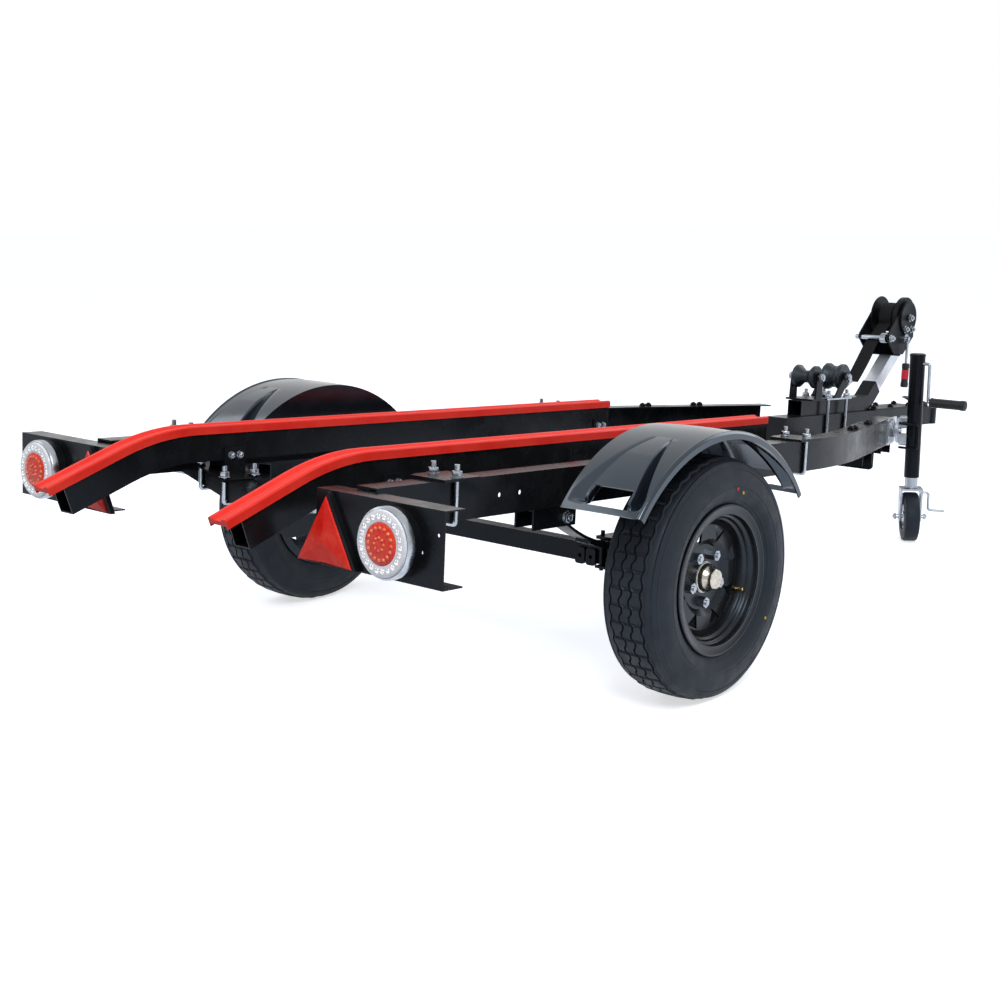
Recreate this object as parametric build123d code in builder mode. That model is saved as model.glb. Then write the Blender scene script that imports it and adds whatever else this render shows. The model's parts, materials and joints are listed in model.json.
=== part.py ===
from build123d import *
from math import acos, atan2, cos, degrees, hypot, radians, sin, sqrt, tan
import os

os.makedirs("parts", exist_ok=True)

# Boat trailer, small single-axle bunk trailer, parked on its jockey wheel.
# Millimetres. X is to the trailer's right, Y forward, Z up.
# The chassis is drawn level, with Y = 0 at the axle and Z = 0 on the ground below it,
# and is then set down nose first about the axle, as it stands on its jockey wheel.
# The jockey stand is drawn upright, in the parked trailer.

NOSE_DOWN = 3.66          # slope of the parked chassis, degrees
FIT = 0.3                 # gap between pieces that only seat on each other
SIDES = (("right", 1), ("left", -1))

# wheels
TYRE_R = 275.0
TYRE_W = 155.0
TRACK_HALF = 655.0        # wheel mid-plane from the centre line
RIM_HALF = 65.0           # flange face from the wheel's mid-plane
RIM_FLANGE_R = 170.0
BEAD_R = 153.0
DROP_R = 137.0
RIM_WALL = 4.0
DISC_X = 6.0              # back of the wheel disc from the mid-plane
DISC_T = 5.0
WINDOW_COUNT = 8
STUD_PCD = 114.3
STUD_COUNT = 5
STUD_TURN = -18.0
STUD_R = 6.0
STUD_HOLE_R = 7.0
NUT_AF = 22.0
NUT_LONG = 16.0
HUB_BOSS_R = 36.0
CAP_R = 31.0
SPINDLE_R = 15.0
RUN_FIT = 0.05            # radial clearance of a running shaft

# rails: channels with the web outside
RAIL_X = 460.0            # outer face of the web
RAIL_REAR_Y = -822.0
RAIL_BEND_Y = 800.0
RAIL_BEND_R = 1400.0
RAIL_TOE = 17.0           # turn of the front run towards the centre, degrees
RAIL_FRONT_Y = 1700.0
RAIL_TOP = 516.0
RAIL_H = 85.0
RAIL_W = 55.0
RAIL_T = 4.0
RAIL_HOLES_Y = (-465.0, -400.0)
RAIL_HOLE_R = 5.5

# crossmembers: shallow V channels clamped on the rails
CROSS_Y = {"rear": -605.0, "front": 775.0}
CROSS_W = 75.0
CROSS_H = 45.0
CROSS_T = 3.2
CROSS_SLOPE = 0.268
CROSS_MID_TOP = 376.7
FOOT_T = 6.0
FOOT_L = 106.0
U_BOLT_R = 5.0
LEG_GAP = 0.5             # from the clamped piece to the bolt's leg

# bunks
BUNK_X = 260.0
BUNK_TOP = 560.0
BUNK_FRONT_Y = 870.0
BUNK_BEND_Y = -660.0
BUNK_BEND_R = 560.0
BUNK_DROP = 21.0
BUNK_BACK = {"right": 0.0, "left": 50.0}   # the left bunk is clamped further back
STRIP_TAIL = 197.4
BEAM_TAIL = 160.0
STRIP_W = 54.0
STRIP_T = 14.0
LIP_DROP = 6.0
BEAM_W = 46.0
BEAM_H = 68.0
BEAM_T = 3.0

# axle and springs
AXLE_SIDE = 45.0
AXLE_Z = 284.5
AXLE_T = 4.0
AXLE_HALF = TRACK_HALF - 85.0
LUGS_X = (340.0, 372.0)
SPRING_X = 432.0
SPRING_W = 44.0
EYE_Y = 240.0
EYE_Z = 405.0
EYE_R = 13.0
LEAF_T = 8.0
HELPER_Y = 140.0
PIN_R = 7.0
HANGER_T = 5.0
HANGER_H = 46.0
HANGERS = (
    # eye y, middle y, length
    (-EYE_Y, -278.0, 145.0),
    (EYE_Y, 245.0, 80.0),
)

# fenders
FENDER_IN = TRACK_HALF - 125.0
FENDER_OUT = TRACK_HALF + 85.0
FENDER_R = TYRE_R + 125.0
FENDER_Y = -30.0
FENDER_Z = 212.0
FENDER_FOOT_Z = 450.0
FENDER_T = 4.0
RIB_RISE = 8.0

# rear lights board
BOARD_IN = 350.0
BOARD_OUT = 690.0
BOARD_TOP = 509.0
BOARD_H = 146.0
BOARD_T = 3.0
BOARD_FLANGE = 53.0
LAMP_X = 570.0
LAMP_R = 67.0
LAMP_D = 40.0
TRIANGLE_X = 394.0
TRIANGLE_SIDE = 165.0
TRIANGLE_T = 12.0

# drawbar, gusset and coupler
DRAW_SIDE = 75.0
DRAW_T = 3.2
DRAW_REAR_Y = 1335.0
DRAW_SLANT = 65.0
DRAW_FRONT_Y = 2300.0
TIE_T = 3.2
TIES = (
    # name, rear y, front y, depth below the rails, half length
    ("drawbar_crossmember", 1335.0, 1395.0, 38.0, 345.0),
    ("nose_crossmember", 1636.0, 1700.0, 31.0, 250.0),
)
SKIRT_Y = 1683.0
SKIRT_Z = 338.0
SKIRT_HALF = 200.0
SKIRT_T = 6.0
SHELF_Y = 1740.0
COUPLER_REAR_Y = 1973.0
COUPLER_T = 6.0
COUPLER_FRONT_Y = 2310.0
COUPLER_HALF = 45.0
HEAD_HALF = 35.0
HEAD_Z = 437.0
HEAD_TOP = 500.0
SOCKET_D = 34.0
BALL_Y = 2458.0
BALL_R = 25.5
HEAD_R = 42.0

# winch stand
STAND_W = 50.0
STAND_H = 50.0
STAND_T = 2.3
STAND_REAR_Y = 1505.0
STAND_BEND_Y = 1959.0
STAND_BEND_R = 40.0
STAND_RISE = 42.0
STAND_ARM = 84.0
SPACER_T = 5.0
POST_W = 45.0
POST_D = 45.0
POST_T = 3.0
POST_LONG = 273.0
DRUM_Y = 2142.0
DRUM_Z = 828.0
DRUM_R = 71.0
CHEEK_IN = 51.0
CHEEK_T = 5.0
COVER_R = 58.0
COVER_T = 6.0
BARREL_R = 30.0
ROLL_R = 52.0
SHAFT_DRUM_R = 8.0
ROD_Y = 2018.0
ROD_Z = 757.0
ROD_R = 6.0
STRAP_W = 47.0
STRAP_T = 3.0

# rollers
KEEL_Y = 1572.0
KEEL_Z = 632.0
KEEL_R = 37.0
KEEL_WAIST_R = 20.0
KEEL_HALF = 39.0
BOW_Y = 1760.0
BOW_Z = 627.0
BOW_R = 44.0
BOW_WAIST_R = 36.0
BOW_HALF = 34.0
BOW_FOOT_Y = BOW_Y - 55.0
SHAFT_R = 7.0
EAR_T = 6.0
EAR_L = 40.0
EAR_GAP = 5.0

# jockey stand
JACK_R = 24.3
JACK_TOP = 607.0
JACK_FOOT = 212.0
JACK_WALL = 3.6
LEG_R = 20.4
LEG_TOP = 520.0
FORK_TURN = 35.0
FORK_PLATE_Z = 170.0
FORK_T = 6.0
FORK_HALF = 35.5
TRAIL = 0.0
JOCKEY_R = 80.0
JOCKEY_W = 48.0
CRANK_Z = 584.0
CRANK_ARM_X = 46.0
CRANK_DROP = 123.0
GRIP_LONG = 110.0
GRIP_R = 13.0
JACK_REACH = 69.0         # tube centre from the rail's outer face
PIVOT_AHEAD = 22.0        # swing pivot ahead of the rail's front end
SWING_PIN_R = 10.0


toe = Vector(-sin(radians(RAIL_TOE)), cos(radians(RAIL_TOE)))
turn_end_x = RAIL_X - RAIL_BEND_R * (1 - cos(radians(RAIL_TOE)))
turn_end_y = RAIL_BEND_Y + RAIL_BEND_R * sin(radians(RAIL_TOE))
front_run = (RAIL_FRONT_Y - turn_end_y) / cos(radians(RAIL_TOE))
rail_bottom = RAIL_TOP - RAIL_H
draw_top = rail_bottom + DRAW_SIDE
board_y = RAIL_REAR_Y - BOARD_FLANGE
pieces = {}
upright = set()


def rail_x_at(y):
    """X of the right rail's outer face along its front run, at a level Y."""
    return turn_end_x - (y - turn_end_y) * tan(radians(RAIL_TOE))


def cross_top(x):
    """Top of a crossmember at X."""
    return CROSS_MID_TOP + CROSS_SLOPE * abs(x)


def rail_band(near, far):
    """Plan of the strip of a right-hand rail between two insets from its outer face."""
    with BuildLine() as outline:
        ends = []
        for inset in (near, far):
            side = Line((RAIL_X - inset, RAIL_REAR_Y), (RAIL_X - inset, RAIL_BEND_Y))
            bend = JernArc(side @ 1, (0, 1), RAIL_BEND_R - inset, RAIL_TOE)
            run = Line(bend @ 1, bend @ 1 + toe * front_run)
            ends.append((side @ 0, run @ 1))
        Line(ends[0][0], ends[1][0])
        Line(ends[0][1], ends[1][1])
    make_face(outline.edges())


def u_bolt(centre, span, height, along, reach=14.0):
    """One U bolt standing open end up: centre of its bottom, legs span apart along X or Y."""
    across = Vector(1, 0, 0) if along == "x" else Vector(0, 1, 0)
    corner = 1.2 * U_BOLT_R
    foot = Vector(*centre)
    left = foot - across * (span / 2)
    right = foot + across * (span / 2)
    lift = Vector(0, 0, height + reach)
    with BuildLine() as wire:
        FilletPolyline(left + lift, left, right, right + lift, radius=corner)
    with BuildSketch(Plane(origin=left + lift, z_dir=(0, 0, -1))) as section:
        Circle(U_BOLT_R)
    sweep(section.sketch, path=wire.line)
    with BuildSketch(Plane.XY.offset(foot.Z + height)) as nuts:
        with Locations((left.X, left.Y), (right.X, right.Y)):
            RegularPolygon(radius=1.75 * U_BOLT_R, side_count=6)
    extrude(nuts.sketch, amount=1.7 * U_BOLT_R)


# Rails
for side_name, side in SIDES:
    with BuildPart() as rail:
        with BuildSketch(Plane.XY.offset(rail_bottom)):
            rail_band(0, RAIL_T)
        extrude(amount=RAIL_H)
        with BuildSketch(Plane.XY.offset(rail_bottom), Plane.XY.offset(RAIL_TOP - RAIL_T)):
            rail_band(0, RAIL_W)
        extrude(amount=RAIL_T)
        with BuildSketch(Plane.YZ.offset(RAIL_X)):
            with Locations(*[(hole_y, rail_bottom + RAIL_H / 2) for hole_y in RAIL_HOLES_Y]):
                Circle(RAIL_HOLE_R)
        extrude(amount=-2 * RAIL_T, mode=Mode.SUBTRACT)
        if side < 0:
            mirror(about=Plane.YZ, mode=Mode.REPLACE)
    pieces["rail_" + side_name] = rail

# Crossmembers with their feet on the rails
leg_out = RAIL_X + LEG_GAP + U_BOLT_R
leg_in = RAIL_X - RAIL_W - LEG_GAP - U_BOLT_R
foot_out = leg_out + 17.0
foot_in = leg_in - 14.0
for cross_name, cross_y in CROSS_Y.items():
    with BuildPart() as cross:
        with BuildSketch(Plane.XZ.offset(-cross_y - CROSS_W / 2)):
            Polygon(
                (-foot_in, cross_top(foot_in)),
                (0, cross_top(0)),
                (foot_in, cross_top(foot_in)),
                (foot_in, cross_top(foot_in) - CROSS_H),
                (0, cross_top(0) - CROSS_H),
                (-foot_in, cross_top(foot_in) - CROSS_H),
                align=None,
            )
        extrude(amount=CROSS_W)
        with BuildSketch(Plane.XZ.offset(-cross_y - CROSS_W / 2 + CROSS_T)):
            Polygon(
                (-foot_in, cross_top(foot_in) - CROSS_T),
                (0, cross_top(0) - CROSS_T),
                (foot_in, cross_top(foot_in) - CROSS_T),
                (foot_in, cross_top(foot_in) - 2 * CROSS_H),
                (0, cross_top(0) - 2 * CROSS_H),
                (-foot_in, cross_top(foot_in) - 2 * CROSS_H),
                align=None,
            )
        extrude(amount=CROSS_W - 2 * CROSS_T, mode=Mode.SUBTRACT)
        hang = RAIL_TOP + FOOT_T - cross_top(foot_in) + CROSS_H
        for side in (1, -1):
            with BuildSketch(Plane.XY.offset(RAIL_TOP)):
                with Locations((side * (foot_in + foot_out) / 2, cross_y)):
                    Rectangle(foot_out - foot_in, FOOT_L)
                with Locations((side * leg_out, cross_y), (side * leg_in, cross_y)):
                    Circle(U_BOLT_R + FIT, mode=Mode.SUBTRACT)
            extrude(amount=FOOT_T)
            with BuildSketch(Plane.XY.offset(RAIL_TOP + FOOT_T)):
                with Locations((side * (foot_in - FOOT_T / 2), cross_y)):
                    Rectangle(FOOT_T, CROSS_W)
            extrude(amount=-hang)
    pieces["crossmember_" + cross_name] = cross

# Bunks: a red strip on an open channel, bent down at the tail
def bunk_run(x, tail, lower, back):
    """Line along a bunk from its front, lowered from the strip's top."""
    top = BUNK_TOP - lower
    bend_y = BUNK_BEND_Y - back
    level = Line((x, BUNK_FRONT_Y - back, top), (x, bend_y, top))
    turn = BUNK_BEND_R - lower
    fall = radians(BUNK_DROP)
    bend_end = (x, bend_y - turn * sin(fall), top - turn * (1 - cos(fall)))
    mid = (x, bend_y - turn * sin(fall / 2), top - turn * (1 - cos(fall / 2)))
    ThreePointArc(level @ 1, mid, bend_end)
    Line(bend_end, (x, bend_end[1] - tail * cos(fall), bend_end[2] - tail * sin(fall)))


for side_name, side in SIDES:
    bunk_x = side * BUNK_X
    with BuildPart() as strip:
        with BuildLine() as run:
            bunk_run(bunk_x, STRIP_TAIL, 0, BUNK_BACK[side_name])
        with BuildSketch(Plane(origin=run.line @ 0, x_dir=(1, 0, 0), z_dir=(0, -1, 0))):
            half = STRIP_W / 2
            seat = BEAM_W / 2 + FIT
            Polygon(
                (-half, -STRIP_T - LIP_DROP), (-half, -3), (-half + 3, 0), (-17, 0), (-10, -5),
                (10, -5), (17, 0), (half - 3, 0), (half, -3), (half, -STRIP_T - LIP_DROP),
                (seat, -STRIP_T - LIP_DROP), (seat, -STRIP_T), (-seat, -STRIP_T),
                (-seat, -STRIP_T - LIP_DROP),
                align=None,
            )
        sweep(path=run.line)
    pieces["bunk_strip_" + side_name] = strip
    with BuildPart() as beam:
        with BuildLine() as run:
            bunk_run(bunk_x, BEAM_TAIL, STRIP_T, BUNK_BACK[side_name])
        with BuildSketch(Plane(origin=run.line @ 0, x_dir=(1, 0, 0), z_dir=(0, -1, 0))):
            with Locations((0, -BEAM_H / 2)):
                Rectangle(BEAM_W, BEAM_H)
            with Locations((0, -BEAM_H / 2 + BEAM_T)):
                Rectangle(BEAM_W - 2 * BEAM_T, BEAM_H, mode=Mode.SUBTRACT)
        sweep(path=run.line)
    pieces["bunk_beam_" + side_name] = beam

# Bunk brackets: a sloped plate clamped on the crossmember and a short pillar to the beam
beam_bottom = BUNK_TOP - STRIP_T - BEAM_H
slope_deg = degrees(atan2(CROSS_SLOPE, 1))
BRACKET_L = 116.0
BRACKET_T = 5.0
SADDLE_T = 4.0
SADDLE_L = 60.0
EAR_UP = 30.0
CLAMP_STEP = 45.0
with BuildPart() as brackets:
    for cross_y in CROSS_Y.values():
        for side in (1, -1):
            tilt = Plane(
                origin=(side * BUNK_X, cross_y, cross_top(BUNK_X)),
                x_dir=(cos(radians(slope_deg)), 0, side * sin(radians(slope_deg))),
                z_dir=(-side * sin(radians(slope_deg)), 0, cos(radians(slope_deg))),
            )
            with BuildSketch(tilt):
                Rectangle(BRACKET_L, CROSS_W + 35)
                span = CROSS_W + 2 * LEG_GAP + 2 * U_BOLT_R
                with GridLocations(2 * CLAMP_STEP, span, 2, 2):
                    Circle(U_BOLT_R + 6 * FIT, mode=Mode.SUBTRACT)
            extrude(amount=BRACKET_T)
            saddle_half = BEAM_W / 2 + SADDLE_T
            saddle_z = beam_bottom - SADDLE_T
            with BuildSketch(Plane.XZ.offset(-cross_y - SADDLE_L / 2)):
                with Locations((side * BUNK_X, 0)):
                    Polygon(
                        (-saddle_half, beam_bottom + EAR_UP), (-BEAM_W / 2, beam_bottom + EAR_UP),
                        (-BEAM_W / 2, beam_bottom), (BEAM_W / 2, beam_bottom),
                        (BEAM_W / 2, beam_bottom + EAR_UP), (saddle_half, beam_bottom + EAR_UP),
                        (saddle_half, saddle_z), (-saddle_half, saddle_z),
                        align=None,
                    )
                    foot_half = 24.0
                    lean = CROSS_SLOPE * side * foot_half
                    plate_top = cross_top(BUNK_X) + BRACKET_T - 1
                    for hand in (1, -1):
                        inner_x = hand * foot_half
                        outer_x = hand * (foot_half + SADDLE_T)
                        Polygon(
                            (inner_x, saddle_z), (outer_x, saddle_z),
                            (outer_x, plate_top + hand * lean), (inner_x, plate_top + hand * lean),
                            align=None,
                        )
            extrude(amount=SADDLE_L)
pieces["bunk_brackets"] = brackets

# All the U bolts of the frame
stand_bottom = draw_top
stand_top = stand_bottom + STAND_H
STAND_BOLTS_Y = (1647.0, 1768.0)
with BuildPart() as u_bolts:
    for cross_y in CROSS_Y.values():
        for side in (1, -1):
            u_bolt(
                (side * (leg_out + leg_in) / 2, cross_y, rail_bottom - U_BOLT_R - FIT),
                leg_out - leg_in,
                RAIL_H + FOOT_T + U_BOLT_R + FIT,
                "x",
            )
            for step in (-CLAMP_STEP, CLAMP_STEP):
                clamp_x = side * BUNK_X + step * cos(radians(slope_deg))
                lift = BRACKET_T / cos(radians(slope_deg)) + 2.4
                u_bolt(
                    (clamp_x, cross_y, cross_top(clamp_x) - CROSS_H - U_BOLT_R - 3.0),
                    CROSS_W + 2 * LEG_GAP + 2 * U_BOLT_R,
                    CROSS_H + U_BOLT_R + 3.0 + lift,
                    "y",
                )
    for bolt_y in STAND_BOLTS_Y:
        u_bolt(
            (0, bolt_y, rail_bottom - TIE_T - U_BOLT_R - FIT),
            DRAW_SIDE + 2 * LEG_GAP + 2 * U_BOLT_R,
            stand_top + SPACER_T - rail_bottom + TIE_T + U_BOLT_R + FIT,
            "x",
        )
pieces["u_bolts"] = u_bolts

# Axle beam with its spindles
with BuildPart() as axle:
    with BuildSketch(Plane.YZ.offset(-AXLE_HALF)):
        with Locations((0, AXLE_Z)):
            Rectangle(AXLE_SIDE, AXLE_SIDE)
            Rectangle(AXLE_SIDE - 2 * AXLE_T, AXLE_SIDE - 2 * AXLE_T, mode=Mode.SUBTRACT)
    extrude(amount=2 * AXLE_HALF)
    for side in (1, -1):
        with BuildSketch(Plane.YZ.offset(side * AXLE_HALF)):
            with Locations((0, AXLE_Z)):
                Rectangle(AXLE_SIDE + 6, AXLE_SIDE + 6)
        extrude(amount=side * 8)
        with BuildSketch(Plane.YZ.offset(side * (AXLE_HALF + 8))):
            with Locations((0, TYRE_R)):
                Circle(SPINDLE_R + 5)
        extrude(amount=side * 14)
        with BuildSketch(Plane.YZ.offset(side * (AXLE_HALF + 8))):
            with Locations((0, TYRE_R)):
                Circle(SPINDLE_R)
        extrude(amount=side * 82)
    for lug_x in LUGS_X:
        for side in (1, -1):
            with BuildSketch(Plane.XZ.offset(AXLE_SIDE / 2)):
                with Locations((side * lug_x, AXLE_Z - 8)):
                    RectangleRounded(28, 40, 7)
                    Circle(5, mode=Mode.SUBTRACT)
            extrude(amount=8)
pieces["axle"] = axle

# Leaf springs: a main leaf rolled into an eye at each end, and a helper leaf
seat_z = AXLE_Z + AXLE_SIDE / 2
main_under = seat_z + LEAF_T
leaf_foot = main_under + LEAF_T
for side_name, side in SIDES:
    with BuildPart() as spring:
        spring_plane = Plane.YZ.offset(side * SPRING_X - SPRING_W / 2)
        with BuildSketch(spring_plane):
            with BuildLine():
                lower = ThreePointArc((-EYE_Y, EYE_Z - EYE_R), (0, main_under), (EYE_Y, EYE_Z - EYE_R))
                upper = ThreePointArc(
                    (-EYE_Y, EYE_Z - EYE_R + LEAF_T), (0, leaf_foot), (EYE_Y, EYE_Z - EYE_R + LEAF_T)
                )
                Line(lower @ 0, upper @ 0)
                Line(lower @ 1, upper @ 1)
            make_face()
            with Locations((-EYE_Y, EYE_Z), (EYE_Y, EYE_Z)):
                Circle(EYE_R)
                Circle(PIN_R + FIT, mode=Mode.SUBTRACT)
        extrude(amount=SPRING_W)
        with BuildSketch(spring_plane):
            helper_z = main_under + (EYE_Z - EYE_R - main_under) * (HELPER_Y / EYE_Y) ** 2
            with BuildLine():
                lower = ThreePointArc(
                    (-HELPER_Y, helper_z - LEAF_T), (0, seat_z), (HELPER_Y, helper_z - LEAF_T)
                )
                upper = ThreePointArc(
                    (-HELPER_Y, helper_z + 1), (0, main_under + 1), (HELPER_Y, helper_z + 1)
                )
                Line(lower @ 0, upper @ 0)
                Line(lower @ 1, upper @ 1)
            make_face()
        extrude(amount=SPRING_W)
    pieces["spring_" + side_name] = spring

# Spring hangers under the rails, with their pins
with BuildPart() as hangers:
    for side in (1, -1):
        for eye_y, hanger_mid, hanger_l in HANGERS:
            for cheek in (-1, 1):
                cheek_x = side * SPRING_X + cheek * (SPRING_W / 2 + FIT + HANGER_T / 2)
                with BuildSketch(Plane.YZ.offset(cheek_x - HANGER_T / 2)):
                    with Locations((hanger_mid, rail_bottom - HANGER_H / 2)):
                        Rectangle(hanger_l, HANGER_H)
                extrude(amount=HANGER_T)
            with BuildSketch(Plane.XY.offset(rail_bottom)):
                with Locations((side * SPRING_X, hanger_mid)):
                    Rectangle(SPRING_W + 2 * FIT + 2 * HANGER_T, hanger_l)
            extrude(amount=-HANGER_T)
            with BuildSketch(Plane.YZ.offset(side * SPRING_X - SPRING_W / 2 - 14)):
                with Locations((eye_y, EYE_Z)):
                    Circle(PIN_R)
            extrude(amount=SPRING_W + 28)
pieces["spring_hangers"] = hangers

# Spring clamps: a plate on each spring and two U bolts down round the axle
CLAMP_T = 8.0
with BuildPart() as spring_clamps:
    for side in (1, -1):
        with BuildSketch(Plane.XY.offset(leaf_foot + 2)):
            with Locations((side * SPRING_X, 0)):
                Rectangle(SPRING_W + 34, AXLE_SIDE + 34)
        extrude(amount=CLAMP_T)
        for step_y in (-1, 1):
            for step_x in (-1, 1):
                leg_x = side * SPRING_X + step_x * (SPRING_W / 2 + U_BOLT_R + 1)
                leg_y = step_y * (AXLE_SIDE / 2 + U_BOLT_R + 1)
                with BuildSketch(Plane.XY.offset(AXLE_Z - AXLE_SIDE / 2 - 12)):
                    with Locations((leg_x, leg_y)):
                        Circle(U_BOLT_R)
                extrude(amount=AXLE_SIDE + 12 + 2 * LEAF_T + 2 + CLAMP_T + 12)
        with BuildSketch(Plane.XY.offset(AXLE_Z - AXLE_SIDE / 2 - FIT)):
            with Locations((side * SPRING_X, 0)):
                Rectangle(SPRING_W + 34, AXLE_SIDE + 34)
        extrude(amount=-6)
pieces["spring_clamps"] = spring_clamps

# Wheels
for side_name, side in SIDES:
    hub_x = TRACK_HALF
    with BuildPart() as hub:
        # the spindle's bore is closed by the dust cap
        stations = (
            # inner end, outer end from the wheel's mid-plane, radius
            (-58.0, -44.0, 44.0),
            (-44.0, DISC_X - 11.0, 36.0),
            (DISC_X - 11.0, DISC_X, 72.0),
            (DISC_X, DISC_X + DISC_T + 6.0, HUB_BOSS_R),
            (DISC_X + DISC_T + 6.0, DISC_X + DISC_T + 20.0, CAP_R),
            (DISC_X + DISC_T + 20.0, DISC_X + DISC_T + 38.0, CAP_R - 9.0),
        )
        for inner, outer, radius in stations:
            with BuildSketch(Plane.YZ.offset(hub_x + inner)):
                with Locations((0, TYRE_R)):
                    Circle(radius)
            extrude(amount=outer - inner)
        fillet(hub.faces().sort_by(Axis.X)[-1].edges(), 6)
        with BuildSketch(Plane.YZ.offset(hub_x - 58.0)):
            with Locations((0, TYRE_R)):
                Circle(SPINDLE_R + RUN_FIT)
        extrude(amount=58.0 + DISC_X + DISC_T, mode=Mode.SUBTRACT)
        with BuildSketch(Plane.YZ.offset(hub_x + DISC_X + DISC_T)):
            with Locations((0, TYRE_R)):
                with PolarLocations(STUD_PCD / 2, STUD_COUNT, start_angle=STUD_TURN):
                    RegularPolygon(radius=NUT_AF / sqrt(3), side_count=6)
        extrude(amount=NUT_LONG)
        with BuildSketch(Plane.YZ.offset(hub_x + DISC_X - 2)):
            with Locations((0, TYRE_R)):
                with PolarLocations(STUD_PCD / 2, STUD_COUNT, start_angle=STUD_TURN):
                    Circle(STUD_R)
        extrude(amount=DISC_T + NUT_LONG + 6)
        if side < 0:
            mirror(about=Plane.YZ, mode=Mode.REPLACE)
    pieces["hub_" + side_name] = hub

    with BuildPart() as rim:
        section_plane = Plane.XZ.offset(0)
        with BuildSketch(section_plane):
            inner = RIM_WALL
            Polygon(
                *[
                    (hub_x + x, TYRE_R + r)
                    for x, r in (
                        (-RIM_HALF, RIM_FLANGE_R), (-RIM_HALF + inner, RIM_FLANGE_R),
                        (-RIM_HALF + inner, BEAD_R), (-26, BEAD_R), (-20, DROP_R),
                        (18, DROP_R), (24, BEAD_R), (RIM_HALF - inner, BEAD_R),
                        (RIM_HALF - inner, RIM_FLANGE_R), (RIM_HALF, RIM_FLANGE_R),
                        (RIM_HALF, BEAD_R - inner), (26, BEAD_R - inner), (20, DROP_R - inner),
                        (-22, DROP_R - inner), (-28, BEAD_R - inner), (-RIM_HALF, BEAD_R - inner),
                    )
                ],
                align=None,
            )
        revolve(axis=Axis((0, 0, TYRE_R), (1, 0, 0)), revolution_arc=360)
        with BuildSketch(section_plane):
            Polygon(
                *[
                    (hub_x + x, TYRE_R + r)
                    for x, r in (
                        (DISC_X, HUB_BOSS_R + FIT), (DISC_X + DISC_T, HUB_BOSS_R + FIT),
                        (DISC_X + DISC_T, 74), (23, 88), (22, 120), (14, DROP_R - inner + 1),
                        (14 - DISC_T, DROP_R - inner + 1), (17, 118), (17, 90), (DISC_X, 77),
                    )
                ],
                align=None,
            )
        revolve(axis=Axis((0, 0, TYRE_R), (1, 0, 0)), revolution_arc=360)
        with BuildSketch(Plane.YZ.offset(hub_x)):
            with Locations((0, TYRE_R)):
                with PolarLocations(STUD_PCD / 2, STUD_COUNT, start_angle=STUD_TURN):
                    Circle(STUD_HOLE_R)
                with PolarLocations(0, WINDOW_COUNT, start_angle=22.5):
                    Polygon((82, 0), (116, 21), (116, -21), align=None)
        extrude(amount=RIM_HALF, mode=Mode.SUBTRACT)
        if side < 0:
            mirror(about=Plane.YZ, mode=Mode.REPLACE)
    pieces["rim_" + side_name] = rim

    with BuildPart() as tyre:
        with BuildSketch(Plane.XZ):
            bead_x = RIM_HALF - RIM_WALL - FIT
            bead_z = TYRE_R + BEAD_R + FIT
            lip_z = TYRE_R + RIM_FLANGE_R + 3
            half = TYRE_W / 2
            tread_x = half - 23.5
            shoulder_x = half - 11.5
            bulge_r = TYRE_R - 61
            shoulder_r = TYRE_R - 13
            edge_r = TYRE_R - 4
            tread_z = TYRE_R + edge_r
            under_z = tread_z - 14
            shoulder_z = TYRE_R + shoulder_r
            bulge_z = TYRE_R + bulge_r
            with BuildLine():
                for way in (1, -1):
                    lip = (hub_x + way * bead_x, lip_z)
                    bead = (hub_x + way * bead_x, bead_z)
                    heel = (hub_x + way * (bead_x - 18), bead_z)
                    shoulder = (hub_x + way * shoulder_x, shoulder_z)
                    edge = (hub_x + way * tread_x, tread_z)
                    under = (hub_x + way * tread_x, under_z)
                    ThreePointArc(lip, (hub_x + way * half, bulge_z), shoulder)
                    Line(shoulder, edge)
                    Line(lip, bead)
                    Line(bead, heel)
                    ThreePointArc(heel, (hub_x + way * (half - 10), bulge_z - 2), under)
                ThreePointArc((hub_x - tread_x, tread_z), (hub_x, 2 * TYRE_R), (hub_x + tread_x, tread_z))
                Line((hub_x - tread_x, under_z), (hub_x + tread_x, under_z))
            make_face()
        revolve(axis=Axis((0, 0, TYRE_R), (1, 0, 0)), revolution_arc=360)
        if side < 0:
            mirror(about=Plane.YZ, mode=Mode.REPLACE)
    pieces["tyre_" + side_name] = tyre

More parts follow.
